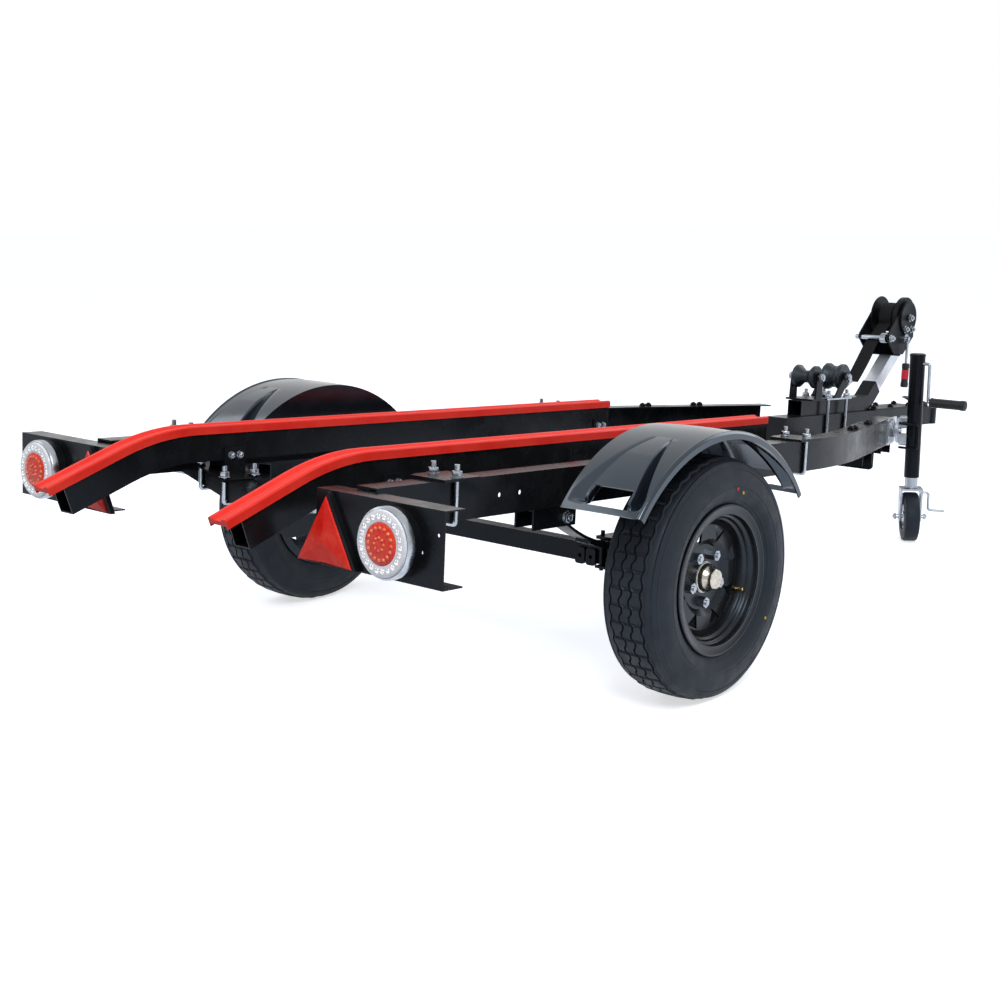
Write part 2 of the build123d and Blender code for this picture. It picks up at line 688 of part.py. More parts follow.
# Fenders: a ribbed arch with a turned-down outer lip and a flat inner panel
half_arc = degrees(acos((FENDER_FOOT_Z - FENDER_Z) / FENDER_R))
for side_name, side in SIDES:
    with BuildPart() as fender:
        arch_plane = Plane(
            origin=(0, FENDER_Y, FENDER_Z),
            x_dir=(1, 0, 0),
            z_dir=(0, -cos(radians(half_arc)), -sin(radians(half_arc))),
        )
        with BuildSketch(arch_plane):
            top = FENDER_R
            rise = FENDER_R + RIB_RISE
            outer_line = (
                (FENDER_IN, top), (FENDER_IN + 38, top), (FENDER_IN + 50, rise),
                (FENDER_OUT - 62, rise), (FENDER_OUT - 50, top), (FENDER_OUT - 10, top),
                (FENDER_OUT, top - 8), (FENDER_OUT, top - 30),
            )
            inner_line = (
                (FENDER_OUT - FENDER_T, top - 30), (FENDER_OUT - FENDER_T, top - 10),
                (FENDER_OUT - 12, top - FENDER_T), (FENDER_OUT - 52, top - FENDER_T),
                (FENDER_OUT - 64, rise - FENDER_T), (FENDER_IN + 52, rise - FENDER_T),
                (FENDER_IN + 40, top - FENDER_T), (FENDER_IN, top - FENDER_T),
            )
            Polygon(*outer_line, *inner_line, align=None)
        revolve(
            axis=Axis((0, FENDER_Y, FENDER_Z), (1, 0, 0)),
            revolution_arc=-2 * half_arc,
        )
        with BuildSketch(Plane.YZ.offset(FENDER_IN)):
            with Locations((FENDER_Y, FENDER_Z)):
                Circle(FENDER_R - 1)
            with Locations((FENDER_Y, FENDER_FOOT_Z - FENDER_R)):
                Rectangle(3 * FENDER_R, 2 * FENDER_R, mode=Mode.SUBTRACT)
        extrude(amount=FENDER_T)
        for end in (-1, 1):
            slot_turn = end * (half_arc - 7)
            slot_plane = Plane(
                origin=(
                    (FENDER_IN + FENDER_OUT) / 2,
                    FENDER_Y + FENDER_R * sin(radians(slot_turn)),
                    FENDER_Z + FENDER_R * cos(radians(slot_turn)),
                ),
                x_dir=(1, 0, 0),
                z_dir=(0, sin(radians(slot_turn)), cos(radians(slot_turn))),
            )
            with BuildSketch(slot_plane):
                SlotOverall(120, 26)
            extrude(amount=30, both=True, mode=Mode.SUBTRACT)
        if side < 0:
            mirror(about=Plane.YZ, mode=Mode.REPLACE)
    pieces["fender_" + side_name] = fender

# Fender stays: flat bars from the rail to the fender's inner panel
STAY_W = 40.0
STAY_T = 5.0
STAY_Z = 478.0
STAY_Y = (-190.0, 140.0)
with BuildPart() as stays:
    for side in (1, -1):
        for stay_y in STAY_Y:
            with BuildSketch(Plane.XZ.offset(-stay_y - STAY_W / 2)):
                outer = FENDER_IN - FIT
                inner = RAIL_X + FIT
                Polygon(
                    (side * inner, STAY_Z + 26), (side * (inner + STAY_T), STAY_Z + 26),
                    (side * (inner + STAY_T), STAY_Z + STAY_T), (side * (outer - STAY_T), STAY_Z + STAY_T),
                    (side * (outer - STAY_T), STAY_Z + 40), (side * outer, STAY_Z + 40),
                    (side * outer, STAY_Z), (side * inner, STAY_Z),
                    align=None,
                )
            extrude(amount=STAY_W)
pieces["fender_stays"] = stays

# Light boards, lamps and triangles
board_bottom = BOARD_TOP - BOARD_H
board_mid = BOARD_TOP - BOARD_H / 2
for side_name, side in SIDES:
    with BuildPart() as board:
        with BuildSketch(Plane.YZ.offset(BOARD_IN)):
            Polygon(
                (board_y, board_bottom), (board_y + BOARD_FLANGE, board_bottom),
                (board_y + BOARD_FLANGE, board_bottom + BOARD_T),
                (board_y + BOARD_T, board_bottom + BOARD_T),
                (board_y + BOARD_T, BOARD_TOP - BOARD_T), (board_y + BOARD_FLANGE, BOARD_TOP - BOARD_T),
                (board_y + BOARD_FLANGE, BOARD_TOP), (board_y, BOARD_TOP),
                align=None,
            )
        extrude(amount=BOARD_OUT - BOARD_IN)
        with BuildSketch(Plane.XZ.offset(-board_y)):
            with Locations((BOARD_OUT - 55, board_bottom + 63), (BOARD_OUT - 15, board_mid + 27)):
                Circle(3.5)
        extrude(amount=-2 * BOARD_T, mode=Mode.SUBTRACT)
        if side < 0:
            mirror(about=Plane.YZ, mode=Mode.REPLACE)
    pieces["light_board_" + side_name] = board

    with BuildPart() as lamp:
        with BuildSketch(Plane.XZ.offset(-board_y)):
            with Locations((side * LAMP_X, board_mid)):
                Circle(LAMP_R)
        extrude(amount=LAMP_D)
        fillet(lamp.faces().sort_by(Axis.Y)[0].edges(), 12)
    pieces["lamp_" + side_name] = lamp

    with BuildPart() as triangle:
        with BuildSketch(Plane.XZ.offset(-board_y)):
            tall = TRIANGLE_SIDE * sqrt(3) / 2
            base_z = BOARD_TOP - 1 - tall
            Polygon(
                (side * TRIANGLE_X - TRIANGLE_SIDE / 2, base_z),
                (side * TRIANGLE_X + TRIANGLE_SIDE / 2, base_z),
                (side * TRIANGLE_X, base_z + tall),
                align=None,
            )
        extrude(amount=TRIANGLE_T)
    pieces["triangle_" + side_name] = triangle

# Drawbar with a slanted rear end
with BuildPart() as drawbar:
    with BuildSketch(Plane.YZ.offset(-DRAW_SIDE / 2)):
        Polygon(
            (DRAW_REAR_Y, rail_bottom), (DRAW_FRONT_Y, rail_bottom),
            (DRAW_FRONT_Y, draw_top), (DRAW_REAR_Y + DRAW_SLANT, draw_top),
            align=None,
        )
    extrude(amount=DRAW_SIDE)
    with BuildSketch(Plane.XZ.offset(-DRAW_FRONT_Y)):
        with Locations((0, (rail_bottom + draw_top) / 2)):
            Rectangle(DRAW_SIDE - 2 * DRAW_T, DRAW_SIDE - 2 * DRAW_T)
    extrude(amount=DRAW_FRONT_Y - DRAW_REAR_Y - 2 * DRAW_SLANT, mode=Mode.SUBTRACT)
pieces["drawbar"] = drawbar

# Crossmembers under the drawbar: channels open downwards, the front one with a hanging plate
for tie_name, tie_rear, tie_front, tie_h, tie_half in TIES:
    with BuildPart() as tie:
        with BuildSketch(Plane.YZ.offset(-tie_half)):
            Polygon(
                (tie_rear, rail_bottom), (tie_front, rail_bottom), (tie_front, rail_bottom - tie_h),
                (tie_front - TIE_T, rail_bottom - tie_h), (tie_front - TIE_T, rail_bottom - TIE_T),
                (tie_rear + TIE_T, rail_bottom - TIE_T), (tie_rear + TIE_T, rail_bottom - tie_h),
                (tie_rear, rail_bottom - tie_h),
                align=None,
            )
        extrude(amount=2 * tie_half)
        if tie_name == "nose_crossmember":
            with BuildSketch(Plane.XZ.offset(-SKIRT_Y - SKIRT_T)):
                with Locations((0, (rail_bottom - TIE_T + SKIRT_Z) / 2)):
                    Rectangle(2 * SKIRT_HALF, rail_bottom - TIE_T - SKIRT_Z)
            extrude(amount=SKIRT_T)
            fillet(tie.edges().filter_by(Axis.Y).group_by(Axis.Z)[0], 14)
            with BuildSketch(Plane.XY.offset(rail_bottom - tie_h)):
                with Locations((0, (SKIRT_Y + SHELF_Y) / 2)):
                    Rectangle(2 * SKIRT_HALF, SHELF_Y - SKIRT_Y)
            extrude(amount=-TIE_T)
            with BuildSketch(Plane.XY.offset(rail_bottom)):
                bolt_x = DRAW_SIDE / 2 + LEG_GAP + U_BOLT_R
                with Locations((bolt_x, STAND_BOLTS_Y[0]), (-bolt_x, STAND_BOLTS_Y[0])):
                    Circle(U_BOLT_R + FIT)
            extrude(amount=-TIE_T, mode=Mode.SUBTRACT)
    pieces[tie_name] = tie

# Coupler: a plate bolted on the drawbar and a head with a ball socket
coupler_top = draw_top + COUPLER_T
with BuildPart() as coupler:
    with BuildSketch(Plane.XY.offset(HEAD_Z)):
        with Locations((0, (DRAW_FRONT_Y + FIT + BALL_Y) / 2)):
            Rectangle(2 * HEAD_HALF, BALL_Y - DRAW_FRONT_Y - FIT)
        with Locations((0, BALL_Y)):
            Circle(HEAD_R)
    extrude(amount=coupler_top - HEAD_Z)
    with BuildSketch(Plane.YZ):
        Polygon(
            (COUPLER_FRONT_Y, coupler_top), (BALL_Y - HEAD_R, HEAD_TOP), (BALL_Y + 18, HEAD_TOP),
            (BALL_Y + HEAD_R, HEAD_TOP - 24), (BALL_Y + HEAD_R, coupler_top),
            align=None,
        )
        Polygon(
            (DRAW_FRONT_Y - 1, HEAD_Z - 1), (DRAW_FRONT_Y + 60, HEAD_Z - 1), (DRAW_FRONT_Y - 1, HEAD_Z + 32),
            align=None,
        )
    extrude(amount=2 * HEAD_R, both=True, mode=Mode.SUBTRACT)
    with BuildSketch(Plane.XY.offset(draw_top)):
        with Locations((0, (COUPLER_REAR_Y + COUPLER_FRONT_Y) / 2)):
            RectangleRounded(2 * COUPLER_HALF, COUPLER_FRONT_Y - COUPLER_REAR_Y, 8)
    extrude(amount=COUPLER_T)
    with BuildSketch(Plane.XY.offset(HEAD_Z)):
        with Locations((0, BALL_Y)):
            Circle(BALL_R)
    extrude(amount=SOCKET_D, mode=Mode.SUBTRACT)
pieces["coupler"] = coupler

with BuildPart() as latch:
    with BuildSketch(Plane.YZ.offset(-14)):
        Polygon(
            (BALL_Y - 8, HEAD_TOP), (BALL_Y - 12, HEAD_TOP + 14), (BALL_Y - 60, HEAD_TOP + 24),
            (BALL_Y - 150, HEAD_TOP + 42), (BALL_Y - 176, HEAD_TOP + 38), (BALL_Y - 150, HEAD_TOP + 33),
            (BALL_Y - 40, HEAD_TOP),
            align=None,
        )
    extrude(amount=28)
pieces["coupler_lever"] = latch

# Winch stand: a bent box that lies on the drawbar and rises in front as a sleeve
rise_dir = Vector(0, cos(radians(STAND_RISE)), sin(radians(STAND_RISE)))
stand_mid = stand_bottom + STAND_H / 2
with BuildPart() as stand:
    with BuildLine() as run:
        knee = FilletPolyline(
            (0, STAND_REAR_Y, stand_mid),
            (0, STAND_BEND_Y, stand_mid),
            Vector(0, STAND_BEND_Y, stand_mid) + rise_dir * STAND_ARM,
            radius=STAND_BEND_R,
        )
    with BuildSketch(Plane(origin=run.line @ 0, x_dir=(1, 0, 0), z_dir=(0, 1, 0))):
        Rectangle(STAND_W, STAND_H)
        Rectangle(STAND_W - 2 * STAND_T, STAND_H - 2 * STAND_T, mode=Mode.SUBTRACT)
    sweep(path=run.line)
pieces["winch_stand"] = stand
arm_root = Vector(0, STAND_BEND_Y, stand_mid)
arm_end = arm_root + rise_dir * STAND_ARM

# Plate on the stand under the U bolts' nuts
with BuildPart() as stand_plate:
    with BuildSketch(Plane.XY.offset(stand_top)):
        with Locations((0, (STAND_BOLTS_Y[0] + STAND_BOLTS_Y[1]) / 2)):
            Rectangle(DRAW_SIDE + 5.4 * U_BOLT_R, STAND_BOLTS_Y[1] - STAND_BOLTS_Y[0] + 44)
        bolt_x = DRAW_SIDE / 2 + LEG_GAP + U_BOLT_R
        for bolt_y in STAND_BOLTS_Y:
            with Locations((bolt_x, bolt_y), (-bolt_x, bolt_y)):
                Circle(U_BOLT_R + FIT, mode=Mode.SUBTRACT)
    extrude(amount=SPACER_T)
pieces["stand_plate"] = stand_plate

# Winch post: a square tube held in the sleeve
POST_TUCK = 60.0
with BuildPart() as post:
    with BuildSketch(Plane(origin=arm_end - rise_dir * POST_TUCK, x_dir=(1, 0, 0), z_dir=rise_dir)):
        Rectangle(POST_W, POST_D)
        Rectangle(POST_W - 2 * POST_T, POST_D - 2 * POST_T, mode=Mode.SUBTRACT)
    extrude(amount=POST_TUCK + POST_LONG)
pieces["winch_post"] = post

# Winch frame: a foot plate on the post and two cheeks
FOOT_FROM = 135.0
FOOT_TO = 245.0
CHEEK_LINE = (
    # y, z
    (2068.0, 700.0), (2003.0, 757.0), (2010.0, 772.0), (2090.0, 850.0), (2118.0, 864.0),
    (2142.0, 869.0), (2166.0, 864.0), (2180.0, 850.0), (2200.0, 763.0), (2130.0, 700.0),
)
post_up = Vector(0, -sin(radians(STAND_RISE)), cos(radians(STAND_RISE)))
foot_mid = arm_end + rise_dir * ((FOOT_FROM + FOOT_TO) / 2) + post_up * (POST_D / 2)
with BuildPart() as winch_frame:
    with BuildSketch(Plane(origin=foot_mid, x_dir=(1, 0, 0), z_dir=post_up)):
        Rectangle(2 * CHEEK_IN + 2 * CHEEK_T, FOOT_TO - FOOT_FROM)
    extrude(amount=CHEEK_T)
    for cheek_x in (CHEEK_IN, -CHEEK_IN - CHEEK_T):
        with BuildSketch(Plane.YZ.offset(cheek_x)):
            Polygon(*CHEEK_LINE, align=None)
            with Locations((DRUM_Y, DRUM_Z)):
                Circle(SHAFT_DRUM_R + FIT, mode=Mode.SUBTRACT)
        extrude(amount=CHEEK_T)
    # round cover over the drum's gear
    with BuildSketch(Plane.YZ.offset(CHEEK_IN + CHEEK_T)):
        with Locations((DRUM_Y, DRUM_Z)):
            Circle(COVER_R)
            Circle(SHAFT_DRUM_R + FIT, mode=Mode.SUBTRACT)
    extrude(amount=COVER_T)
    with BuildSketch(Plane.YZ.offset(-CHEEK_IN - CHEEK_T - 6)):
        with Locations((ROD_Y, ROD_Z)):
            Circle(ROD_R)
    extrude(amount=2 * (CHEEK_IN + CHEEK_T + 6))
pieces["winch_frame"] = winch_frame

DISCS = (
    # inner x, outer x, radius
    (34.0, 50.0, DRUM_R),
    (-50.0, -45.0, DRUM_R),
    (-50.0, 50.0, BARREL_R),
    (-CHEEK_IN - CHEEK_T - 9, CHEEK_IN + CHEEK_T + 9, SHAFT_DRUM_R),
)
with BuildPart() as drum:
    for inner, outer, radius in DISCS:
        with BuildSketch(Plane.YZ.offset(inner)):
            with Locations((DRUM_Y, DRUM_Z)):
                Circle(radius)
        extrude(amount=outer - inner)
pieces["winch_drum"] = drum

# Strap: wound on the barrel and led under the rod to the bow hook
hook_y = 1886.0
hook_z = 606.0
strap_mid = -5.5
with BuildPart() as strap:
    with BuildSketch(Plane.YZ.offset(strap_mid - STRAP_W / 2)):
        with Locations((DRUM_Y, DRUM_Z)):
            Circle(ROLL_R)
            Circle(BARREL_R, mode=Mode.SUBTRACT)
        with BuildLine():
            Polyline(
                (DRUM_Y - 47, DRUM_Z - 21), (ROD_Y + 4, ROD_Z - ROD_R - 1), (ROD_Y - 6, ROD_Z - ROD_R - 4),
                (hook_y, hook_z + STRAP_T), (hook_y + 2, hook_z),
                (ROD_Y - 4, ROD_Z - ROD_R - 5 - STRAP_T), (ROD_Y + 6, ROD_Z - ROD_R - 1 - STRAP_T),
                (DRUM_Y - 35, DRUM_Z - 37), (DRUM_Y - 47, DRUM_Z - 21),
            )
        make_face()
    extrude(amount=STRAP_W)
pieces["winch_strap"] = strap

# Rollers and their brackets
def roller(name, y, z, radius, waist, half):
    """A diabolo keel roller on a bore for its shaft."""
    with BuildPart() as body:
        with BuildSketch(Plane.XZ.offset(-y)):
            Polygon(
                (-half, z + SHAFT_R + RUN_FIT), (-half, z + radius - 3), (-half + 3, z + radius),
                (-half + 12, z + radius), (-8, z + waist), (8, z + waist), (half - 12, z + radius),
                (half - 3, z + radius), (half, z + radius - 3), (half, z + SHAFT_R + RUN_FIT),
                align=None,
            )
        revolve(axis=Axis((0, y, z), (1, 0, 0)), revolution_arc=360)
    pieces[name] = body


roller("keel_roller", KEEL_Y, KEEL_Z, KEEL_R, KEEL_WAIST_R, KEEL_HALF)
roller("bow_roller", BOW_Y, BOW_Z, BOW_R, BOW_WAIST_R, BOW_HALF)


def roller_bracket(name, y, z, half, base_y, base_z, base_l):
    """Two ears on a base plate, with the roller's shaft through them."""
    ear_in = half + EAR_GAP
    with BuildPart() as bracket:
        for ear_x in (ear_in, -ear_in - EAR_T):
            with BuildSketch(Plane.YZ.offset(ear_x)):
                with Locations((y, z)):
                    Circle(EAR_L / 2 - 2)
                Polygon(
                    (base_y - EAR_L / 2, base_z), (base_y + EAR_L / 2, base_z),
                    (y + EAR_L / 2 - 3, z - 7), (y - EAR_L / 2 + 3, z + 7),
                    align=None,
                )
            extrude(amount=EAR_T)
        with BuildSketch(Plane.XY.offset(base_z)):
            with Locations((0, base_y)):
                Rectangle(2 * (ear_in + EAR_T), base_l)
        extrude(amount=EAR_T)
        with BuildSketch(Plane.YZ.offset(-ear_in - EAR_T - 9)):
            with Locations((y, z)):
                Circle(SHAFT_R)
        extrude(amount=2 * (ear_in + EAR_T + 9))
    pieces[name] = bracket


roller_bracket("keel_bracket", KEEL_Y, KEEL_Z, KEEL_HALF, KEEL_Y - 2, stand_top, 80.0)
roller_bracket("bow_bracket", BOW_Y, BOW_Z, BOW_HALF, BOW_FOOT_Y, stand_top + SPACER_T, EAR_L)

# Bow hook at the end of the strap
with BuildPart() as hook:
    with BuildLine() as wire:
        FilletPolyline(
            (strap_mid, hook_y - 0.3, hook_z + 1.5), (strap_mid, hook_y - 36, hook_z - 15),
            (strap_mid, hook_y - 68, hook_z - 9), (strap_mid, hook_y - 64, hook_z + 14), radius=9,
        )
    with BuildSketch(Plane(origin=wire.line @ 0, z_dir=wire.line % 0)):
        Circle(4.5)
    sweep(path=wire.line)
pieces["bow_hook"] = hook

# Winch crank: hub, arm and hanging grip
with BuildPart() as winch_crank:
    hub_y = 2120.0
    hub_z = 755.0
    outer = CHEEK_IN + CHEEK_T
    with BuildSketch(Plane.YZ.offset(outer)):
        with Locations((hub_y, hub_z)):
            Circle(17)
    extrude(amount=14)
    with BuildSketch(Plane.YZ.offset(outer + 14)):
        with Locations((hub_y, hub_z)):
            Circle(9)
    extrude(amount=10)
    with BuildSketch(Plane.XY.offset(hub_z)):
        with Locations((outer + 19, hub_y)):
            Circle(4.5)
    extrude(amount=-96)
    with BuildSketch(Plane.XY.offset(hub_z - 86)):
        with Locations((outer + 19, hub_y)):
            Circle(11)
    extrude(amount=-74)
pieces["winch_crank"] = winch_crank


# Jockey clamp on the right rail's front end, with the pivot that the stand swings on
face_out = Vector(cos(radians(RAIL_TOE)), sin(radians(RAIL_TOE)), 0)
toe_dir = Vector(toe.X, toe.Y, 0)
pivot_level = Vector(rail_x_at(RAIL_FRONT_Y), RAIL_FRONT_Y, RAIL_TOP - RAIL_H / 2) + toe_dir * PIVOT_AHEAD
CLAMP_PLATE = 6.0
CLAMP_LONG = 135.0
CLAMP_BACK = 34.5
SWIVEL_T = 8.0
swivel_in = CLAMP_PLATE + 10.0
level_side = Plane(origin=pivot_level, x_dir=toe_dir, z_dir=face_out)
with BuildPart() as clamp:
    with BuildSketch(level_side):
        with Locations((-CLAMP_BACK, 0)):
            RectangleRounded(CLAMP_LONG, RAIL_H, 8)
    extrude(amount=CLAMP_PLATE)
    with BuildSketch(level_side):
        Circle(24)
    extrude(amount=swivel_in - FIT)
    with BuildSketch(level_side):
        Circle(SWING_PIN_R)
    extrude(amount=swivel_in + SWIVEL_T + 6)
    with BuildSketch(level_side.offset(CLAMP_PLATE)):
        with Locations((-88, 22), (-88, -22), (-46, 26), (-46, -26)):
            RegularPolygon(radius=9, side_count=6)
    extrude(amount=7)
pieces["jockey_clamp"] = clamp


# Jockey stand, drawn upright in the parked trailer
def parked(x, y, z):
    """A point of the level chassis, after it is set down."""
    fall = radians(NOSE_DOWN)
    z -= TYRE_R
    return Vector(x, y * cos(fall) + z * sin(fall), -y * sin(fall) + z * cos(fall) + TYRE_R)


def upright_piece(name, piece):
    """Keep a piece of the jockey stand, which is drawn where it parks."""
    pieces[name] = piece
    upright.add(name)


pivot = parked(pivot_level.X, pivot_level.Y, pivot_level.Z)
swing_axis = parked(*(pivot_level + face_out)) - pivot
tube_mid = pivot + swing_axis * JACK_REACH
JACK_X = tube_mid.X
JACK_Y = tube_mid.Y
PIVOT_Z = tube_mid.Z

with BuildPart() as jack_tube:
    with BuildSketch(Plane.XY.offset(JACK_FOOT)):
        with Locations((JACK_X, JACK_Y)):
            Circle(JACK_R)
            Circle(JACK_R - JACK_WALL, mode=Mode.SUBTRACT)
    extrude(amount=JACK_TOP - JACK_FOOT)
    with BuildSketch(Plane.XY.offset(JACK_TOP)):
        with Locations((JACK_X, JACK_Y)):
            Circle(JACK_R + 1.5)
    extrude(amount=8)
    fillet(jack_tube.faces().sort_by(Axis.Z)[-1].edges(), 6)
upright_piece("jockey_tube", jack_tube)

# Swivel: a disc on the pivot and an arm that holds the tube
side_plane = Plane(origin=pivot, x_dir=(0, 0, 1), z_dir=swing_axis)
with BuildPart() as swivel:
    with BuildSketch(side_plane.offset(swivel_in)):
        Circle(42)
        Circle(SWING_PIN_R + RUN_FIT, mode=Mode.SUBTRACT)
    extrude(amount=SWIVEL_T)
    with BuildSketch(side_plane.offset(swivel_in + SWIVEL_T)):
        RectangleRounded(96, 24, 6)
        Circle(16, mode=Mode.SUBTRACT)
    extrude(amount=JACK_REACH - swivel_in - SWIVEL_T)
    with BuildSketch(Plane.XY.offset(PIVOT_Z - 70)):
        with Locations((JACK_X, JACK_Y)):
            Circle(JACK_R)
    extrude(amount=140, mode=Mode.SUBTRACT)
upright_piece("jockey_swivel", swivel)

# Loop handle of the swivel's lock pin
with BuildPart() as loop:
    loop_y = JACK_Y - JACK_R - 5.5
    with BuildLine() as wire:
        FilletPolyline(
            (JACK_X - 36, loop_y, PIVOT_Z + 26), (JACK_X + 28, loop_y, PIVOT_Z + 26),
            (JACK_X + 28, loop_y, PIVOT_Z - 52), (JACK_X - 36, loop_y, PIVOT_Z - 52), radius=10,
        )
    with BuildSketch(Plane(origin=wire.line @ 0, z_dir=(1, 0, 0))):
        Circle(4)
    sweep(path=wire.line)
upright_piece("jockey_loop", loop)

# Crank of the jockey stand
with BuildPart() as jack_crank:
    crank_y = JACK_Y - 6
    arm_x = JACK_X + CRANK_ARM_X
    with BuildLine() as wire:
        FilletPolyline(
            (JACK_X + JACK_R, crank_y, CRANK_Z), (arm_x, crank_y, CRANK_Z),
            (arm_x, crank_y, CRANK_Z - CRANK_DROP), (arm_x + 30, crank_y, CRANK_Z - CRANK_DROP),
            radius=8,
        )
    with BuildSketch(Plane(origin=wire.line @ 0, z_dir=(1, 0, 0))):
        Circle(5)
    sweep(path=wire.line)
    with BuildSketch(Plane.YZ.offset(arm_x + 14)):
        with Locations((crank_y, CRANK_Z - CRANK_DROP)):
            Circle(GRIP_R)
    extrude(amount=GRIP_LONG)
upright_piece("jockey_crank", jack_crank)

# Inner leg
with BuildPart() as leg:
    with BuildSketch(Plane.XY.offset(FORK_PLATE_Z + FORK_T + FIT)):
        with Locations((JACK_X, JACK_Y)):
            Circle(LEG_R)
    extrude(amount=LEG_TOP - FORK_PLATE_Z - FORK_T - FIT)
    with BuildSketch(Plane.XY.offset(FORK_PLATE_Z + FORK_T + FIT)):
        with Locations((JACK_X, JACK_Y)):
            Circle(9)
    extrude(amount=-FORK_T - FIT - 1)
upright_piece("jockey_leg", leg)

# Fork, turned as it stands
axle_dir = Vector(cos(radians(FORK_TURN)), sin(radians(FORK_TURN)), 0)
roll_dir = Vector(-sin(radians(FORK_TURN)), cos(radians(FORK_TURN)), 0)
axle_point = Vector(JACK_X, JACK_Y, JOCKEY_R) - roll_dir * TRAIL
fork_plane = Plane(origin=(JACK_X, JACK_Y, FORK_PLATE_Z), x_dir=axle_dir, z_dir=(0, 0, 1))
with BuildPart() as fork:
    with BuildSketch(fork_plane):
        RectangleRounded(2 * FORK_HALF, 62, 5)
        Circle(9 + RUN_FIT, mode=Mode.SUBTRACT)
    extrude(amount=FORK_T)
    for cheek_from in (-FORK_HALF, FORK_HALF - FORK_T):
        cheek_plane = Plane(origin=axle_point + axle_dir * cheek_from, x_dir=roll_dir, z_dir=axle_dir)
        with BuildSketch(cheek_plane):
            with BuildLine():
                Polyline(
                    (-12, -14), (12, -14), (TRAIL + 26, FORK_PLATE_Z - JOCKEY_R + FORK_T),
                    (TRAIL - 26, FORK_PLATE_Z - JOCKEY_R + FORK_T), (-12, -14),
                )
            make_face()
        extrude(amount=FORK_T)
    with BuildSketch(Plane(origin=axle_point - axle_dir * (FORK_HALF + 8), z_dir=axle_dir)):
        Circle(6)
    extrude(amount=2 * FORK_HALF + 16)
    with BuildLine() as wire:
        lever_root = Vector(JACK_X, JACK_Y, FORK_PLATE_Z - 9) + axle_dir * FORK_HALF
        FilletPolyline(
            lever_root, lever_root + axle_dir * 22, lever_root + axle_dir * 22 - Vector(0, 0, 58),
            lever_root + axle_dir * 74 - Vector(0, 0, 62), radius=10,
        )
    with BuildSketch(Plane(origin=wire.line @ 0, z_dir=axle_dir)):
        Circle(4)
    sweep(path=wire.line)
upright_piece("jockey_fork", fork)

with BuildPart() as jockey_wheel:
    with BuildSketch(Plane(origin=axle_point - axle_dir * (JOCKEY_W / 2), z_dir=axle_dir)):
        Circle(JOCKEY_R)
        Circle(6 + RUN_FIT, mode=Mode.SUBTRACT)
    extrude(amount=JOCKEY_W)
    fillet(jockey_wheel.edges().filter_by(GeomType.CIRCLE).group_by(SortBy.RADIUS)[-1], 8)
upright_piece("jockey_wheel", jockey_wheel)

# Set every piece down where the trailer parks, with the origin under the middle of it all
set_down = Location((0, 0, TYRE_R)) * Location((0, 0, 0), (-NOSE_DOWN, 0, 0)) * Location((0, 0, -TYRE_R))
for name, piece in pieces.items():
    if name not in upright:
        piece.part.move(set_down)
boxes = [piece.part.bounding_box() for piece in pieces.values()]
rear_y = min(box.min.Y for box in boxes)
front_y = max(box.max.Y for box in boxes)
centre_y = (rear_y + front_y) / 2
print("length", round(front_y - rear_y, 2), "axle at y", round(-centre_y, 3))
lowest = min(box.min.Z for box in boxes)
highest = max(box.max.Z for box in boxes)
print("lowest", round(lowest, 3), "highest", round(highest, 3))
print("half widths", round(min(box.min.X for box in boxes), 3), round(max(box.max.X for box in boxes), 3))
for name, piece in pieces.items():
    piece.part.move(Location((0, -centre_y, 0)))
    piece.part.label = name
    export_step(piece.part, "parts/" + name + ".step")
print(len(pieces), "pieces")
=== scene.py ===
"""Looks of a parked single-axle boat trailer: tyres, fenders, lamps, bolts, winch and finishes."""

import json
import logging
import math
from dataclasses import dataclass, field
from enum import Enum

import bpy
from mathutils import Matrix, Vector

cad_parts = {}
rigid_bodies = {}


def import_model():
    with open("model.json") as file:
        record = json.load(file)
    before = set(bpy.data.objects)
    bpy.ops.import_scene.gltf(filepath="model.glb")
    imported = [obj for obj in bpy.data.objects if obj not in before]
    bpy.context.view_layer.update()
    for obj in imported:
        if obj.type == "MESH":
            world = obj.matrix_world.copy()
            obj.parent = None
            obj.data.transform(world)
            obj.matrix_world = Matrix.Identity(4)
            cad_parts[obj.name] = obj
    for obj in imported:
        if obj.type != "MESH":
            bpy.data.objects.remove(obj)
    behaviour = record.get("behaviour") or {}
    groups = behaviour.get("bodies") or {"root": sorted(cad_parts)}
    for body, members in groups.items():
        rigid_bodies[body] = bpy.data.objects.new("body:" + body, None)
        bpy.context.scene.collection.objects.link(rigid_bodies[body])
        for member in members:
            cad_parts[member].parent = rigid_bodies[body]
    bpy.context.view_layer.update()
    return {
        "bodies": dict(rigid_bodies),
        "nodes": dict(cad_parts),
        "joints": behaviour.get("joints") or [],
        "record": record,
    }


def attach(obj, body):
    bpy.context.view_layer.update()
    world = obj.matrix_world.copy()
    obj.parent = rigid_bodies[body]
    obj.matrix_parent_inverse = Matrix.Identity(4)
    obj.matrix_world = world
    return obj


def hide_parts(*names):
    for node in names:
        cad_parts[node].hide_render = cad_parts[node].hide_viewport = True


LOG = logging.getLogger("boat_trailer")
Piece = bpy.types.Object
Tree = bpy.types.NodeTree
Outline = list[tuple[float, float]]
Place = tuple[Vector, Vector]
Triple = tuple[float, float, float]
ORIGIN = Vector((0, 0, 0))
UP = (0, 0, 1)
OUT = (1, 0, 0)
QUARTER = math.radians(90)
ROUNDED = (0.0012, 2)


class Side(Enum):
    """The two sides of the trailer, with the sign of their X."""

    RIGHT = 1
    LEFT = -1

    @property
    def word(self) -> str:
        """Name of the side as the nodes spell it."""
        return self.name.lower()


